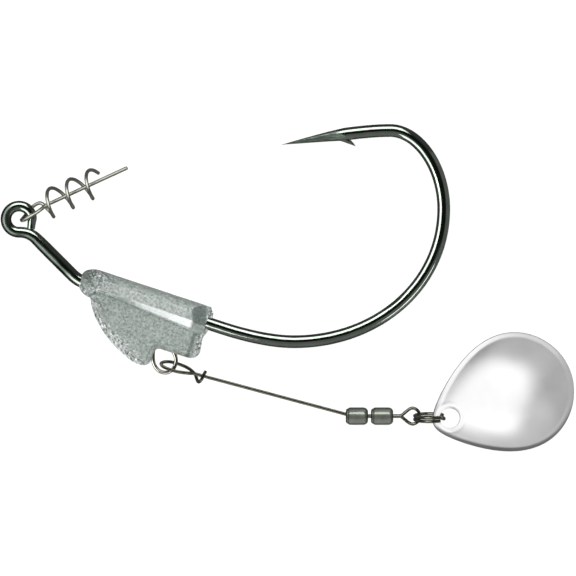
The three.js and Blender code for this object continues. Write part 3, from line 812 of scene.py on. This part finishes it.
def build_wedge():
    """The wedge with its rounded nose and, at the tail, a sloping facet on each side."""
    rows = []
    for station in np.concatenate([np.linspace(*stretch) for stretch in WEDGE_STRETCHES]):
        s = WEDGE_START + station
        top_rise = arc_share((s - NOSE_START) / NOSE_TOP_RUN)
        bottom_rise = arc_share((s - NOSE_START) / NOSE_BOTTOM_RUN)
        top = (NOSE_TOP + (WEDGE_TOP - NOSE_TOP) * top_rise) / WEDGE_TOP
        bottom = (NOSE_BOTTOM + (-WEDGE_BOTTOM - NOSE_BOTTOM) * bottom_rise) / -WEDGE_BOTTOM
        full = NOSE_WIDTH_SHARE + (1 - NOSE_WIDTH_SHARE) * arc_share((s - WEDGE_START) / NOSE_WIDTH_RUN)

        def narrowed(z, t):
            past = s - TAIL_FACET_START + TAIL_FACET_LEAN * (t - TAIL_FACET_LEVEL)
            return min(z * full, max(TAIL_RIM_HALF_WIDTH, WEDGE_HALF_WIDTH - past * TAIL_FACET_SLOPE))

        half = [(narrowed(z, t), t * (top if t > 0 else bottom)) for z, t in wedge_section(s)]
        outline = half + [(-z, t) for z, t in half[:0:-1]]
        rows.append([shank_point(s, t, z) for z, t in outline])
    return lofted("wedge", rows)


def outline_points():
    """The fin's outline in the shank's own frame: curved front, low corner, notch and shorter rear."""
    def flat(*points, count):
        return bezier(*[(*p, 0) for p in points], count=count)[:, :2]
    return np.vstack([
        [(2.9, 0.4)],
        flat((2.75, -1.6), (3.6, -4.6), (7.4, -8.2), (12.6, -9.9), count=28),
        flat((12.6, -9.9), (15.2, -10.6), (15.75, -9.2), count=12)[1:],
        flat((15.85, -7.3), (15.95, -6.6), (16.7, -6.55), count=8),
        flat((21.3, -6.5), (22.9, -6.4), (23.15, -5.0), count=10),
        [(22.6, -1.4), (22.0, 0.4)],
    ])


def slab(name, outline, layers):
    """A plate with an outline in the shank's own frame.

    layers are (z, how far the outline is drawn in), the second a number or one for each point.
    """
    outline = np.array(outline)
    before, after = np.roll(outline, 1, 0), np.roll(outline, -1, 0)
    tangent = unit(unit(outline - before) + unit(after - outline))
    area = 0.5 * (outline[:, 0] * after[:, 1] - after[:, 0] * outline[:, 1]).sum()
    inward = np.stack([-tangent[:, 1], tangent[:, 0]], 1) * math.copysign(1, area)
    rows = [
        [shank_point(*point, z) for point in outline + inward * np.reshape(inset, (-1, 1))]
        for z, inset in layers
    ]
    return lofted(name, rows)


def build_keel():
    """Wedge, fin and the parting flash, fused and given the texture of a rough casting."""
    flat = FIN_HALF_WIDTH
    lip = FLASH_HALF_WIDTH
    outline = outline_points()
    inset = FIN_CHAMFER + (FIN_REAR_CHAMFER - FIN_CHAMFER) * fade(outline[:, 0], 22.2, 22.6)
    fin = slab("fin", outline, [(-flat, inset), (-lip, 0.0), (lip, 0.0), (flat, inset)])
    tail_flash = slab("tail_flash", [
        (20.5, 2.7), (21.9, 2.72), (22.7, 2.45), (23.25, 1.85), (23.35, 0.9), (23.3, -1.2), (22.8, -2.6),
        (20.5, -2.6),
    ], [(-lip, 0.1), (0, 0), (lip, 0.1)])
    nose_flash = slab("nose_flash", [
        (2.9, 1.3), (1.0, 1.1), (0.35, 0.7), (0.36, 0.1), (0.62, -0.75), (1.2, -1.45), (2.0, -1.98),
        (3.0, -2.1),
    ], [(-lip, 0.1), (0, 0), (lip, 0.1)])
    made = build_wedge()
    combined(made, [fin, tail_flash, nose_flash])
    made.name = "keel_casting"
    remesh = made.modifiers.new("even", "REMESH")
    remesh.mode = "VOXEL"
    remesh.voxel_size = KEEL_VOXEL * MM
    soften = made.modifiers.new("soften", "SMOOTH")
    soften.factor = 0.5
    soften.iterations = 2
    evaluated_mesh(made)
    mark_keel(made)
    finish_piece(made, "keel_weight", "hook_body", "cast_lead", crease=80.0)


def neighbour_sums(edges, values):
    """For each vertex, the sum of values over the vertices it shares an edge with."""
    total = np.zeros(values.shape)
    for a, b in ((0, 1), (1, 0)):
        np.add.at(total, edges[:, a], values[edges[:, b]])
    return total


def bulges(points, normals, edges):
    """How far each vertex stands out from its neighbours, in voxels, evened out twice."""
    count = neighbour_sums(edges, np.ones(len(points)))
    mean = neighbour_sums(edges, points) / count[:, None]
    bulge = ((points - mean) * normals).sum(1) / KEEL_VOXEL
    for _ in range(2):
        bulge = (bulge + neighbour_sums(edges, bulge)) / (1 + count)
    return bulge


def skin_height(points, flat):
    """The casting's skin: fine bumps, and pits clear of the parting line."""
    rough = np.array([
        sum(height * noise.noise(Vector(p * scale)) for scale, height in SKIN_NOISE) for p in points
    ])
    dips = np.array([noise.noise(Vector(p * PIT_SCALE + PIT_SHIFT)) for p in points])
    pits = np.maximum(0.0, dips - PIT_LEVEL) * (flat > PIT_FREE_HALF_WIDTH)
    return SKIN_HEIGHT * rough - PIT_DEPTH * pits


def mark_keel(made):
    """Roughens the casting and marks its wear, painted light, painted glints, painted highlight and painted
    shade.
    """
    points = positions(made)
    normals = np.array([v.normal for v in made.data.vertices])
    bulge = bulges(points, normals, np.array([e.vertices for e in made.data.edges]))
    frame_points = shank_frame(points)
    s, t, z = frame_points.T
    along, across, out = shank_frame(normals + np.array([CRANK[0], CRANK[1], PLANE_Z])).T
    flat = np.abs(z)
    place(made, points + normals * skin_height(points, flat)[:, None])
    below = fade(t, *BELOW_WEDGE)
    front_edge = -FRONT_LEAN * s
    bevel = fade(-across, *BEVEL_SLOPE) * fade(flat, *BEVEL_FROM) * fade(t, -2.4, -2.0)
    nose = fade(s, 7.5, 2.5)
    front = 0.95 * fade(t, front_edge - 0.9, front_edge - 2.6) * fade(s, *FRONT_END)
    chamfer = fade(flat, FIN_HALF_WIDTH - 0.15, FIN_HALF_WIDTH - 0.5) * fade(s, 16.5, 15.0)
    rear = fade(s, 21.9, 22.1) * below
    seam = fade(s, 20.9, 21.2) * fade(s, 21.75, 21.5) * below
    rim = fade(s, 22.2, 22.7) * fade(flat, 1.5, 0.9)
    facet = fade(along, 0.45, 0.65) * fade(s, 19.4, 19.9) * fade(flat, 0.8, 1.2)
    facet = facet * fade(t, -0.9, -0.4)
    crevice = fade(bulge, -0.025, -0.09)
    land = 0.45 * fade(out, 0.95, 0.99) * fade(flat, 2.0, 2.2)
    shoulder = 0.5 * fade(s, 3.6, 1.6) * fade(t, -0.6, 0.0)
    shoulder = shoulder + 0.25 * (1 - bevel) * fade(s, 9.0, 5.0)
    # Painted highlight: where a bright line runs along the lower bevel
    highlight_line = LAND_BOTTOM - HIGHLIGHT_SHARE * np.interp(s, SLOPE_AT, SLOPE_DROP)
    stretch = fade(s, 8.0, 13.0) * fade(s, 20.6, 20.2)
    mark(made, "painted_highlight", bevel * stretch * fade(t, highlight_line - HIGHLIGHT_FADE, highlight_line + HIGHLIGHT_FADE))
    # Wear on bulging edges, and painted light on the rim, front, chamfer, land and rear
    mark(made, "wear_and_painted_light", np.maximum.reduce([
        fade(bulge, 0.03, 0.13), 0.8 * rim, 0.4 * front, 0.8 * chamfer * (t < -2.2), land, 0.8 * rear,
    ]))
    # Where painted glints fleck the nose, front, rim and rear
    mark(made, "painted_glints", np.maximum.reduce([nose * bevel, 0.7 * nose, front, rim, rear]) + 0.12)
    # Painted shade on the tail facets, crevices, seam and shoulder
    mark(made, "lead_painted_shade", np.maximum.reduce([0.85 * facet, crevice, 0.8 * seam, shoulder]))
    set_grain(made, frame_points)


# ---- Wires ----

def build_hanger():
    points = [
        (-0.75, 4.9), (-1.05, 3.2), (-1.25, 1.4), (-1.1, 0.0), (-0.3, -1.15), (0.9, -1.5),
        (2.0, -1.0), (2.55, 0.1), (2.5, 1.2), (2.05, 2.1), (1.5, 3.1), (1.3, 4.7),
    ]
    made = tube("hanger_wire", spline([near(HANG, x, y) for x, y in points]), even(HANGER_WIRE))
    finish_piece(made, "hanger_loop", "hook_body", "bright_nickel")


def arm_head():
    return np.array([FRONT_X + BARREL_WALL + ARM_HEAD + RUNNING_GAP, SWIVEL[1], SWIVEL[2]])


def build_arm():
    """The stub of the wrap, the eye round the hanger, the straight run and the ball in the front barrel."""
    head = arm_head()
    heading = math.atan2(head[1] - ARM_FOOT[1], head[0] - ARM_FOOT[0])
    points = [
        (1.55, 0.95, 0.42), (1.38, 0.1, 0.63), (1.2, -0.75, 0.5), (0.85, -1.15, 0), (0.45, -0.75, -0.5),
        (-0.05, -0.05, -0.66), (-1.2, 0.55, -0.85), (-2.9, 0.85, -1.05), (-4.6, 0.85, -1.05),
        (-5.6, 0.55, -0.65), (-5.95, 0.2, 0), (-5.6, -0.15, 0.65), (-4.6, -0.35, 1.05),
        (-2.9, -0.4, 1.0), (-1.3, -0.2, 0.5), (-0.2, 0, 0.06), (0.8, 0, 0),
    ]
    c, d = math.cos(heading), math.sin(heading)
    bent = spline([near(ARM_FOOT, a * c - b * d, a * d + b * c, z) for a, b, z in points])
    made = tube("arm_wire", chain(bent, np.array([bent[-1], head])), even(ARM_WIRE), spacing=0.1)
    turn = np.linspace(0, math.pi, 25)
    ball = turned("ball", [(head[0] - ARM_HEAD * math.cos(a), ARM_HEAD * math.sin(a)) for a in turn], 40)
    finish_piece(combined(made, [ball]), "wire_arm", "arm", "dark_wire")


def build_keeper():
    along = np.array([math.cos(KEEPER_HEADING), math.sin(KEEPER_HEADING), 0])
    across = np.array([-along[1], along[0], 0])
    axis = along * math.cos(KEEPER_RISE) + np.array([0, 0, math.sin(KEEPER_RISE)])
    toward = np.cross(axis, across)
    loop = [
        (3.28, 1.33, 1.05), (1.93, 0.48, 1.28), (0.93, -0.12, 0.9), (0.43, -0.17, 0.0),
        (0.83, 0.38, -0.9), (1.63, 1.38, -1.3), (2.63, 2.38, -1.1), (3.63, 2.68, -0.7),
    ]
    points = [KEEPER_FOOT + axis * d for d in (KEEPER_PIN_LENGTH, KEEPER_PIN_LENGTH / 2, 1.2, 0)]
    points += [near(RING, *p) for p in loop]
    for i in range(-2, int(COIL_TURNS * 12) + 1):
        angle = i / 12 * 2 * math.pi - math.pi / 2
        radius = COIL_RADIUS * (1 + 0.24 * min(0, i))
        upward = radius * math.sin(angle)
        points.append(KEEPER_FOOT + axis * (COIL_START + i / 12 * COIL_PITCH - COIL_SLANT * upward)
                      + across * upward + toward * radius * math.cos(angle))
    made = tube("keeper_wire", spline(points), even(KEEPER_WIRE), spacing=0.1, edge=0.09)
    finish_piece(made, "bait_keeper", "keeper", "spring_steel")


# ---- Swivel, split ring and blade ----

def build_barrel(node, body, x, left_hole, right_hole):
    """A drawn barrel: a rolled rim and groove at its front end, and a crimped dome at its rear end."""
    end = x + BARREL_LENGTH
    r = BARREL_RADIUS
    front = [(0, 0.88), (0.03, 1.0), (0.1, 1.13), (0.2, 1.22), (0.3, 1.27), (0.36, 1.26), (0.42, 1.3),
             (0.5, 1.39), (0.6, 1.435), (0.75, r)]
    rear = [(0.85, r), (0.62, 1.44), (0.45, 1.4), (0.3, 1.32), (0.17, 1.2), (0.07, 1.05), (0.0, 0.88)]
    outside = spline([(x + a, b, 0) for a, b in front] + [(end - a, b, 0) for a, b in rear], 4)[:, :2]
    inner = r - BARREL_WALL
    profile = [(x, left_hole), *map(tuple, outside), (end, right_hole), (end - BARREL_WALL, right_hole),
               (end - BARREL_WALL, inner), (x + BARREL_WALL, inner), (x + BARREL_WALL, left_hole),
               (x, left_hole)]

    def crimp(at_x, angle):
        zone = fade(at_x, end - 0.75, end - 0.25)
        return 1 - 0.045 * zone * np.maximum(0, np.cos(6 * angle)) ** 3

    made = turned(node + "_shell", profile, 96, crimp)
    finish_piece(made, node, body, "smoked_nickel")


def head_profile(x, direction):
    """A pin's head, from the middle of its face at x to its inner side."""
    return [(x, 0), (x, HEAD_RADIUS * 0.72), (x + direction * 0.1, HEAD_RADIUS * 0.87),
            (x + direction * HEAD_LENGTH / 2, HEAD_RADIUS), (x + direction * HEAD_LENGTH, HEAD_RADIUS)]


def build_link():
    left = SWIVEL[0] - BARREL_GAP / 2 - BARREL_WALL - RUNNING_GAP
    right = SWIVEL[0] + BARREL_GAP / 2 + BARREL_WALL + RUNNING_GAP
    profile = [*head_profile(left - HEAD_LENGTH, 1), (left, PIN_RADIUS), (right, PIN_RADIUS),
               *head_profile(right + HEAD_LENGTH, -1)[::-1]]
    finish_piece(turned("link_pin_turned", profile, 48), "link_pin", "link", "dark_wire")


def build_eye():
    """One wire bent to an eye and closed on a headed shank."""
    head_end = REAR_X + BARREL_LENGTH - BARREL_WALL - RUNNING_GAP
    side = [(-3.2, 0), (-2.8, 0.3), (-2.2, 0.8), (-1.7, 1.17), (-1.2, 1.33), (-0.7, 1.2), (-0.25, 0.82),
            (-0.03, 0.36), (0, 0)]
    points = [near(LOOP_TIP, x, y) for x, y in side] + [near(LOOP_TIP, x, -y) for x, y in side[-2::-1]]
    made = tube("swivel_eye_wire", spline(points), even(EYE_WIRE), spacing=0.08, edge=0.08)
    shank_end = LOOP_TIP[0] - 3.0
    shank = turned("shank", [
        *head_profile(head_end - HEAD_LENGTH, 1), (head_end, EYE_SHANK),
        (shank_end - 0.08, EYE_SHANK), (shank_end, EYE_SHANK - 0.08), (shank_end, 0),
    ], 40)
    finish_piece(combined(made, [shank], crossing=True), "swivel_eye", "eye", "dark_wire")


def build_split_ring():
    turn = np.linspace(0, SPLIT_TURN, 900)
    step = fade(turn, *SPLIT_STEP) - 0.5
    x = SPLIT_RADIUS * np.cos(turn + math.pi / 4)
    y = SPLIT_PITCH * step
    z = SPLIT_RADIUS * np.sin(turn + math.pi / 4)
    c, d = math.cos(SPLIT_LEAN), math.sin(SPLIT_LEAN)
    path = SPLIT_CENTRE + np.stack([x, y * c - z * d, y * d + z * c], 1)
    made = tube("split_ring_coil", path, even(SPLIT_WIRE), spacing=0.08, edge=0.08)
    finish_piece(made, "split_ring", "ring", "dark_wire")


def blade_outline(turn):
    c = np.cos(turn)
    widening = 1 + 0.3 * c - 0.17 * c * c
    return BLADE_CENTRE + BLADE_HALF_LENGTH * c, BLADE_HALF_WIDTH * np.sin(turn) * widening


def dish_height(share):
    """The model's own dish, which fixes how the blade hangs."""
    inside = np.minimum(1, share / FLANGE_SHARE)
    return BLADE_DEPTH * (1 - inside ** CROWN_POWER)


def soft_dish(share, bearing):
    """The dish with a soft flange, which is turned down along the lower side."""
    u = np.linspace(0, 1, 400)
    crown = (u / FLANGE_SHARE) ** (CROWN_POWER - 1)
    flange = fade(u, FLANGE_SHARE - 0.045, FLANGE_SHARE + 0.01)
    turned_down = TURNED_SLOPE * fade(u, FLANGE_SHARE - 0.02, 0.99)
    heights = []
    for slope in (crown * (1 - flange) + FLANGE_SLOPE * flange, crown + turned_down):
        fall = np.concatenate([[0], np.cumsum((slope[1:] + slope[:-1]) / 2)])
        heights.append(BLADE_DEPTH * (1 - fall / fall[-1]))
    plain = (0.5 + 0.5 * np.cos(bearing - PLAIN_SIDE)) ** PLAIN_FADE
    return np.interp(share, u, heights[0]) * (1 - plain) + np.interp(share, u, heights[1]) * plain


def blade_rows(rim, hole):
    """Rings of points over the sheet: out along one face, over the rim, back, and over the hole's edge.

    Beside each ring stands its side: 1 on the first face, -1 on the other, between them on an edge.
    """
    span = rim - hole
    length = np.linalg.norm(span, axis=1, keepdims=True)
    outward_step = span / length
    steps = np.unique(np.concatenate([np.linspace(*stretch) for stretch in BLADE_STRETCHES]))
    face = [
        hole + span * (HOLE_EDGE / length + step * (1 - (RIM_EDGE + HOLE_EDGE) / length)) for step in steps
    ]
    out = np.linspace(EDGE_START, math.pi - EDGE_START, EDGE_ROWS)
    back = np.linspace(math.pi - EDGE_START, EDGE_START, EDGE_ROWS)
    rows = [(ring, 1) for ring in face]
    rows += [(rim - outward_step * RIM_EDGE * (1 - math.sin(a)), math.cos(a)) for a in out]
    rows += [(ring, -1) for ring in face[::-1]]
    return rows + [(hole + outward_step * HOLE_EDGE * (1 - math.sin(a)), math.cos(a)) for a in back]


def lip_height(flat):
    """The rolled lip round the hole, pressed deepest on one side, and the faint swell outside it."""
    from_edge = np.linalg.norm(flat, axis=2) - BLADE_HOLE_RADIUS
    bearing = np.arctan2(flat[..., 1], flat[..., 0]) - LIP_SIDE
    pressed = LIP_DEPTH * (LIP_LEAST + (1 - LIP_LEAST) * (0.5 + 0.5 * np.cos(bearing)) ** 2)
    swell = SWELL_HEIGHT * np.exp(-((from_edge - SWELL_AT) / SWELL_RUN) ** 2)
    return swell - pressed * np.exp(-(from_edge / LIP_RUN) ** 2)


def hung(flat, height):
    """Points of the blade's own frame, tilted to lie on the floor and turned to the blade's heading."""
    hole_height = dish_height(BLADE_CENTRE / BLADE_HALF_LENGTH) + BLADE_THICKNESS / 2
    tilt = math.asin((BLADE_HOLE[2] - hole_height) / (BLADE_CENTRE + BLADE_HALF_LENGTH))
    x, y, z = flat[..., 0], flat[..., 1], height - hole_height
    along = x * math.cos(tilt) + z * math.sin(tilt)
    upward = z * math.cos(tilt) - x * math.sin(tilt)
    c, d = math.cos(BLADE_HEADING), math.sin(BLADE_HEADING)
    return BLADE_HOLE + np.stack([along * c - y * d, along * d + y * c, upward], 2)


def build_blade():
    """A stamped, dished egg with a narrow flange and a pierced hole whose edge is rolled over."""
    turn = np.linspace(0, 2 * math.pi, 4000, endpoint=False)
    x, y = blade_outline(turn)
    bearing = np.unwrap(np.arctan2(y, x - BLADE_CENTRE))
    reach = np.hypot(x - BLADE_CENTRE, y)
    period = 2 * math.pi
    angle = np.arange(BLADE_SPOKES) / BLADE_SPOKES * period
    rim_turn = np.interp(angle, np.unwrap(np.arctan2(y, x)), turn, period=period)
    rim = np.stack(blade_outline(rim_turn), 1)
    hole = BLADE_HOLE_RADIUS * np.stack([np.cos(angle), np.sin(angle)], 1)

    def dish_at(points):
        toward = np.arctan2(points[..., 1], points[..., 0] - BLADE_CENTRE) % period
        outer = np.interp(toward, bearing % period, reach, period=period)
        return soft_dish(np.hypot(points[..., 0] - BLADE_CENTRE, points[..., 1]) / outer, toward)

    half = BLADE_THICKNESS / 2
    rows = blade_rows(rim, hole)
    flat = np.array([ring for ring, side in rows])
    height = np.array([dish_at(ring) + half + half * side for ring, side in rows])
    vertices = hung(flat, height + lip_height(flat)).reshape(-1, 3)
    made = make_object("blade_shell", vertices, grid_faces(len(rows), BLADE_SPOKES, joined=True))
    finish_piece(made, "blade", "spinner", "silver_plate", crease=60.0)


# ---- Studio ----

VIEW_WIDTH = 96.0
LENS = 800.0
SENSOR = 36.0
LIGHT_DISTANCE = 0.5
FLOOR_HALF = 12000.0
FLOOR_DROP = 0.05

# The room: its strength, which fades between two heights of a direction, and its tints
OVERHEAD = (0.5, 0.9)
ROOM_STRENGTH = 0.13
OVERHEAD_STRENGTH = 0.02
ROOM_TINT = (0.96, 1.0, 0.97, 1)
PALE_TINT = (0.97, 0.97, 0.975, 1)


def set_camera():
    """Straight down on the hook's plane through a long lens."""
    data = bpy.data.cameras.new("camera")
    data.lens = LENS
    data.sensor_width = SENSOR
    camera = bpy.data.objects.new("camera", data)
    camera.location = (0, 0, (PLANE_Z + VIEW_WIDTH * LENS / SENSOR) * MM)
    bpy.context.scene.collection.objects.link(camera)
    bpy.context.scene.camera = camera


def collection_of(name, pieces):
    """A light's own list of pieces."""
    chosen = bpy.data.collections.new(name)
    for piece in pieces:
        chosen.objects.link(bpy.data.objects[piece])
    return chosen


def lamp(name, kind, pieces, azimuth, elevation, **settings):
    """A light for some of the pieces, in a direction from the lure and facing it."""
    data = bpy.data.lights.new(name, kind)
    for key, value in settings.items():
        setattr(data, key, value)
    a, e = math.radians(azimuth), math.radians(elevation)
    direction = Vector((math.cos(e) * math.cos(a), math.cos(e) * math.sin(a), math.sin(e)))
    light = bpy.data.objects.new(name, data)
    light.location = direction * LIGHT_DISTANCE
    light.rotation_euler = direction.to_track_quat("Z", "Y").to_euler()
    light.visible_camera = False
    light.light_linking.receiver_collection = collection_of(name + "_lit", pieces)
    bpy.context.scene.collection.objects.link(light)
    return light


def softbox(name, pieces, azimuth, elevation, width, height, radiance):
    """A rectangular studio light; its sizes are in metres."""
    lamp(name, "AREA", pieces, azimuth, elevation, shape="RECTANGLE", size=width, size_y=height,
         energy=radiance * math.pi * width * height)


def floor_light(name, azimuth, elevation, strength, softness, shadows):
    """An even light for the floor alone."""
    light = lamp(name, "SUN", ["floor"], azimuth, elevation, energy=strength, angle=math.radians(softness))
    if not shadows:
        light.light_linking.blocker_collection = collection_of(name + "_blockers", ["floor"])


def set_world():
    """A dim grey room, dark overhead, and pale where the camera sees past the floor."""
    world = bpy.data.worlds.new("room")
    s = Nodes(world)
    split = s.add("SeparateXYZ", {0: s.add("TexCoord").outputs["Generated"]})
    strength = s.ramp(split.outputs["Z"], *OVERHEAD, ROOM_STRENGTH, OVERHEAD_STRENGTH)
    room = s.add("Background", {"Color": ROOM_TINT, "Strength": strength})
    pale = s.add("Background", {"Color": PALE_TINT})
    seen = s.add("LightPath").outputs["Is Camera Ray"]
    mix = s.add("MixShader", {0: seen, 1: room.outputs[0], 2: pale.outputs[0]})
    s.add("OutputWorld", {0: mix.outputs[0]})
    bpy.context.scene.world = world


def set_floor():
    """A pale matte floor that the lure's polished wire doesn't mirror."""
    corners = ((-1, -1), (1, -1), (1, 1), (-1, 1))
    vertices = [(x * FLOOR_HALF, y * FLOOR_HALF, -FLOOR_DROP) for x, y in corners]
    floor = make_object("floor", vertices, [(0, 1, 2, 3)])
    s = Shader("floor")
    cloud = s.noise(s.place(), 6.0, 3.0, 0.5)
    s.set(s.surface, {
        "Base Color": s.blend(cloud, (0.91, 0.91, 0.91), (0.93, 0.93, 0.93)), "Roughness": 0.9,
        "Specular IOR Level": 0.1,
    })
    floor.data.materials.append(s.material)
    floor.visible_glossy = False
    floor.visible_shadow = False


# Each finish has its own boxes, placed where polished wire, lead and blade show them:
# name, azimuth, elevation, width, height, radiance
SOFTBOXES = {
    "hook": (["hook_wire"], (
        ("top", 97, 37, 0.48, 0.33, 5.4),
        ("left", 165, 37, 0.56, 0.33, 5.4),
        ("low", 222, 37, 0.42, 0.31, 5.0),
        ("back", 320, 26, 0.26, 0.1, 5.0),
        ("fill_low", 272, 32, 0.9, 1.1, 0.3),
        ("fill_right", 350, 2, 1.0, 1.0, 0.2),
    )),
    "blade": (["blade_shell"], (
        ("over", 165, 79, 0.96, 0.96, 1.08),
        ("left", 180, 24, 0.9, 0.3, 0.5),
        ("fill", 45, 32, 1.4, 0.8, 0.27),
        ("far", 45, -8, 1.4, 0.3, 0.45),
        ("low", 290, 38, 1.0, 0.5, 0.4),
    )),
    "lead": (["keel_casting"], (
        ("over", 100, 65, 0.7, 0.6, 1.75),
        ("low", 250, 12, 0.5, 0.34, 2.0),
        ("front", 215, 8, 0.5, 0.3, 2.2),
        ("back", 72, 14, 0.6, 0.3, 1.1),
        ("right", 345, 22, 0.4, 0.3, 2.2),
    )),
    "keeper": (["keeper_wire"], (
        ("over", 110, 80, 0.7, 0.5, 2.1),
        ("side", 170, 30, 0.5, 0.3, 1.1),
    )),
    "hanger": (["hanger_wire"], (
        ("left", 200, 38, 0.6, 0.24, 3.2),
        ("low", 275, 45, 0.4, 0.2, 2.0),
        ("top", 80, 55, 0.4, 0.24, 2.2),
    )),
    "arm": (["arm_wire", "link_pin_turned"], (
        ("top", 95, 24, 0.6, 0.24, 1.5),
        ("low", 270, 34, 0.6, 0.2, 1.5),
    )),
    "barrel": (["front_barrel_shell", "rear_barrel_shell"], (
        ("top", 95, 52, 0.5, 0.16, 3.0),
        ("over", 90, 88, 1.0, 1.0, 0.3),
        ("back", 90, 8, 1.0, 0.5, 0.36),
        ("low", 270, 12, 1.0, 0.7, 0.42),
    )),
    "eye": (["swivel_eye_wire", "split_ring_coil"], (
        ("over", 110, 66, 0.4, 0.26, 2.6),
        ("low", 265, 30, 0.5, 0.16, 1.4),
    )),
}


def set_lights():
    floor_light("floor_wash", 90, 90, 3.1, 1, shadows=False)
    floor_light("floor_key", 120, 62, 0.5, 60, shadows=True)
    for group, (pieces, boxes) in SOFTBOXES.items():
        for name, *box in boxes:
            softbox(f"{group}_{name}", pieces, *box)


set_camera()
build_hook()
build_keel()
build_hanger()
build_arm()
build_keeper()
build_barrel("front_barrel", "front_swivel", FRONT_X, WIRE_HOLE, PIN_HOLE)
build_barrel("rear_barrel", "rear_swivel", REAR_X, PIN_HOLE, SHANK_HOLE)
build_link()
build_eye()
build_split_ring()
build_blade()
set_floor()
set_world()
set_lights()

scene = bpy.context.scene
scene.view_settings.view_transform = "Standard"
scene.cycles.use_denoising = True
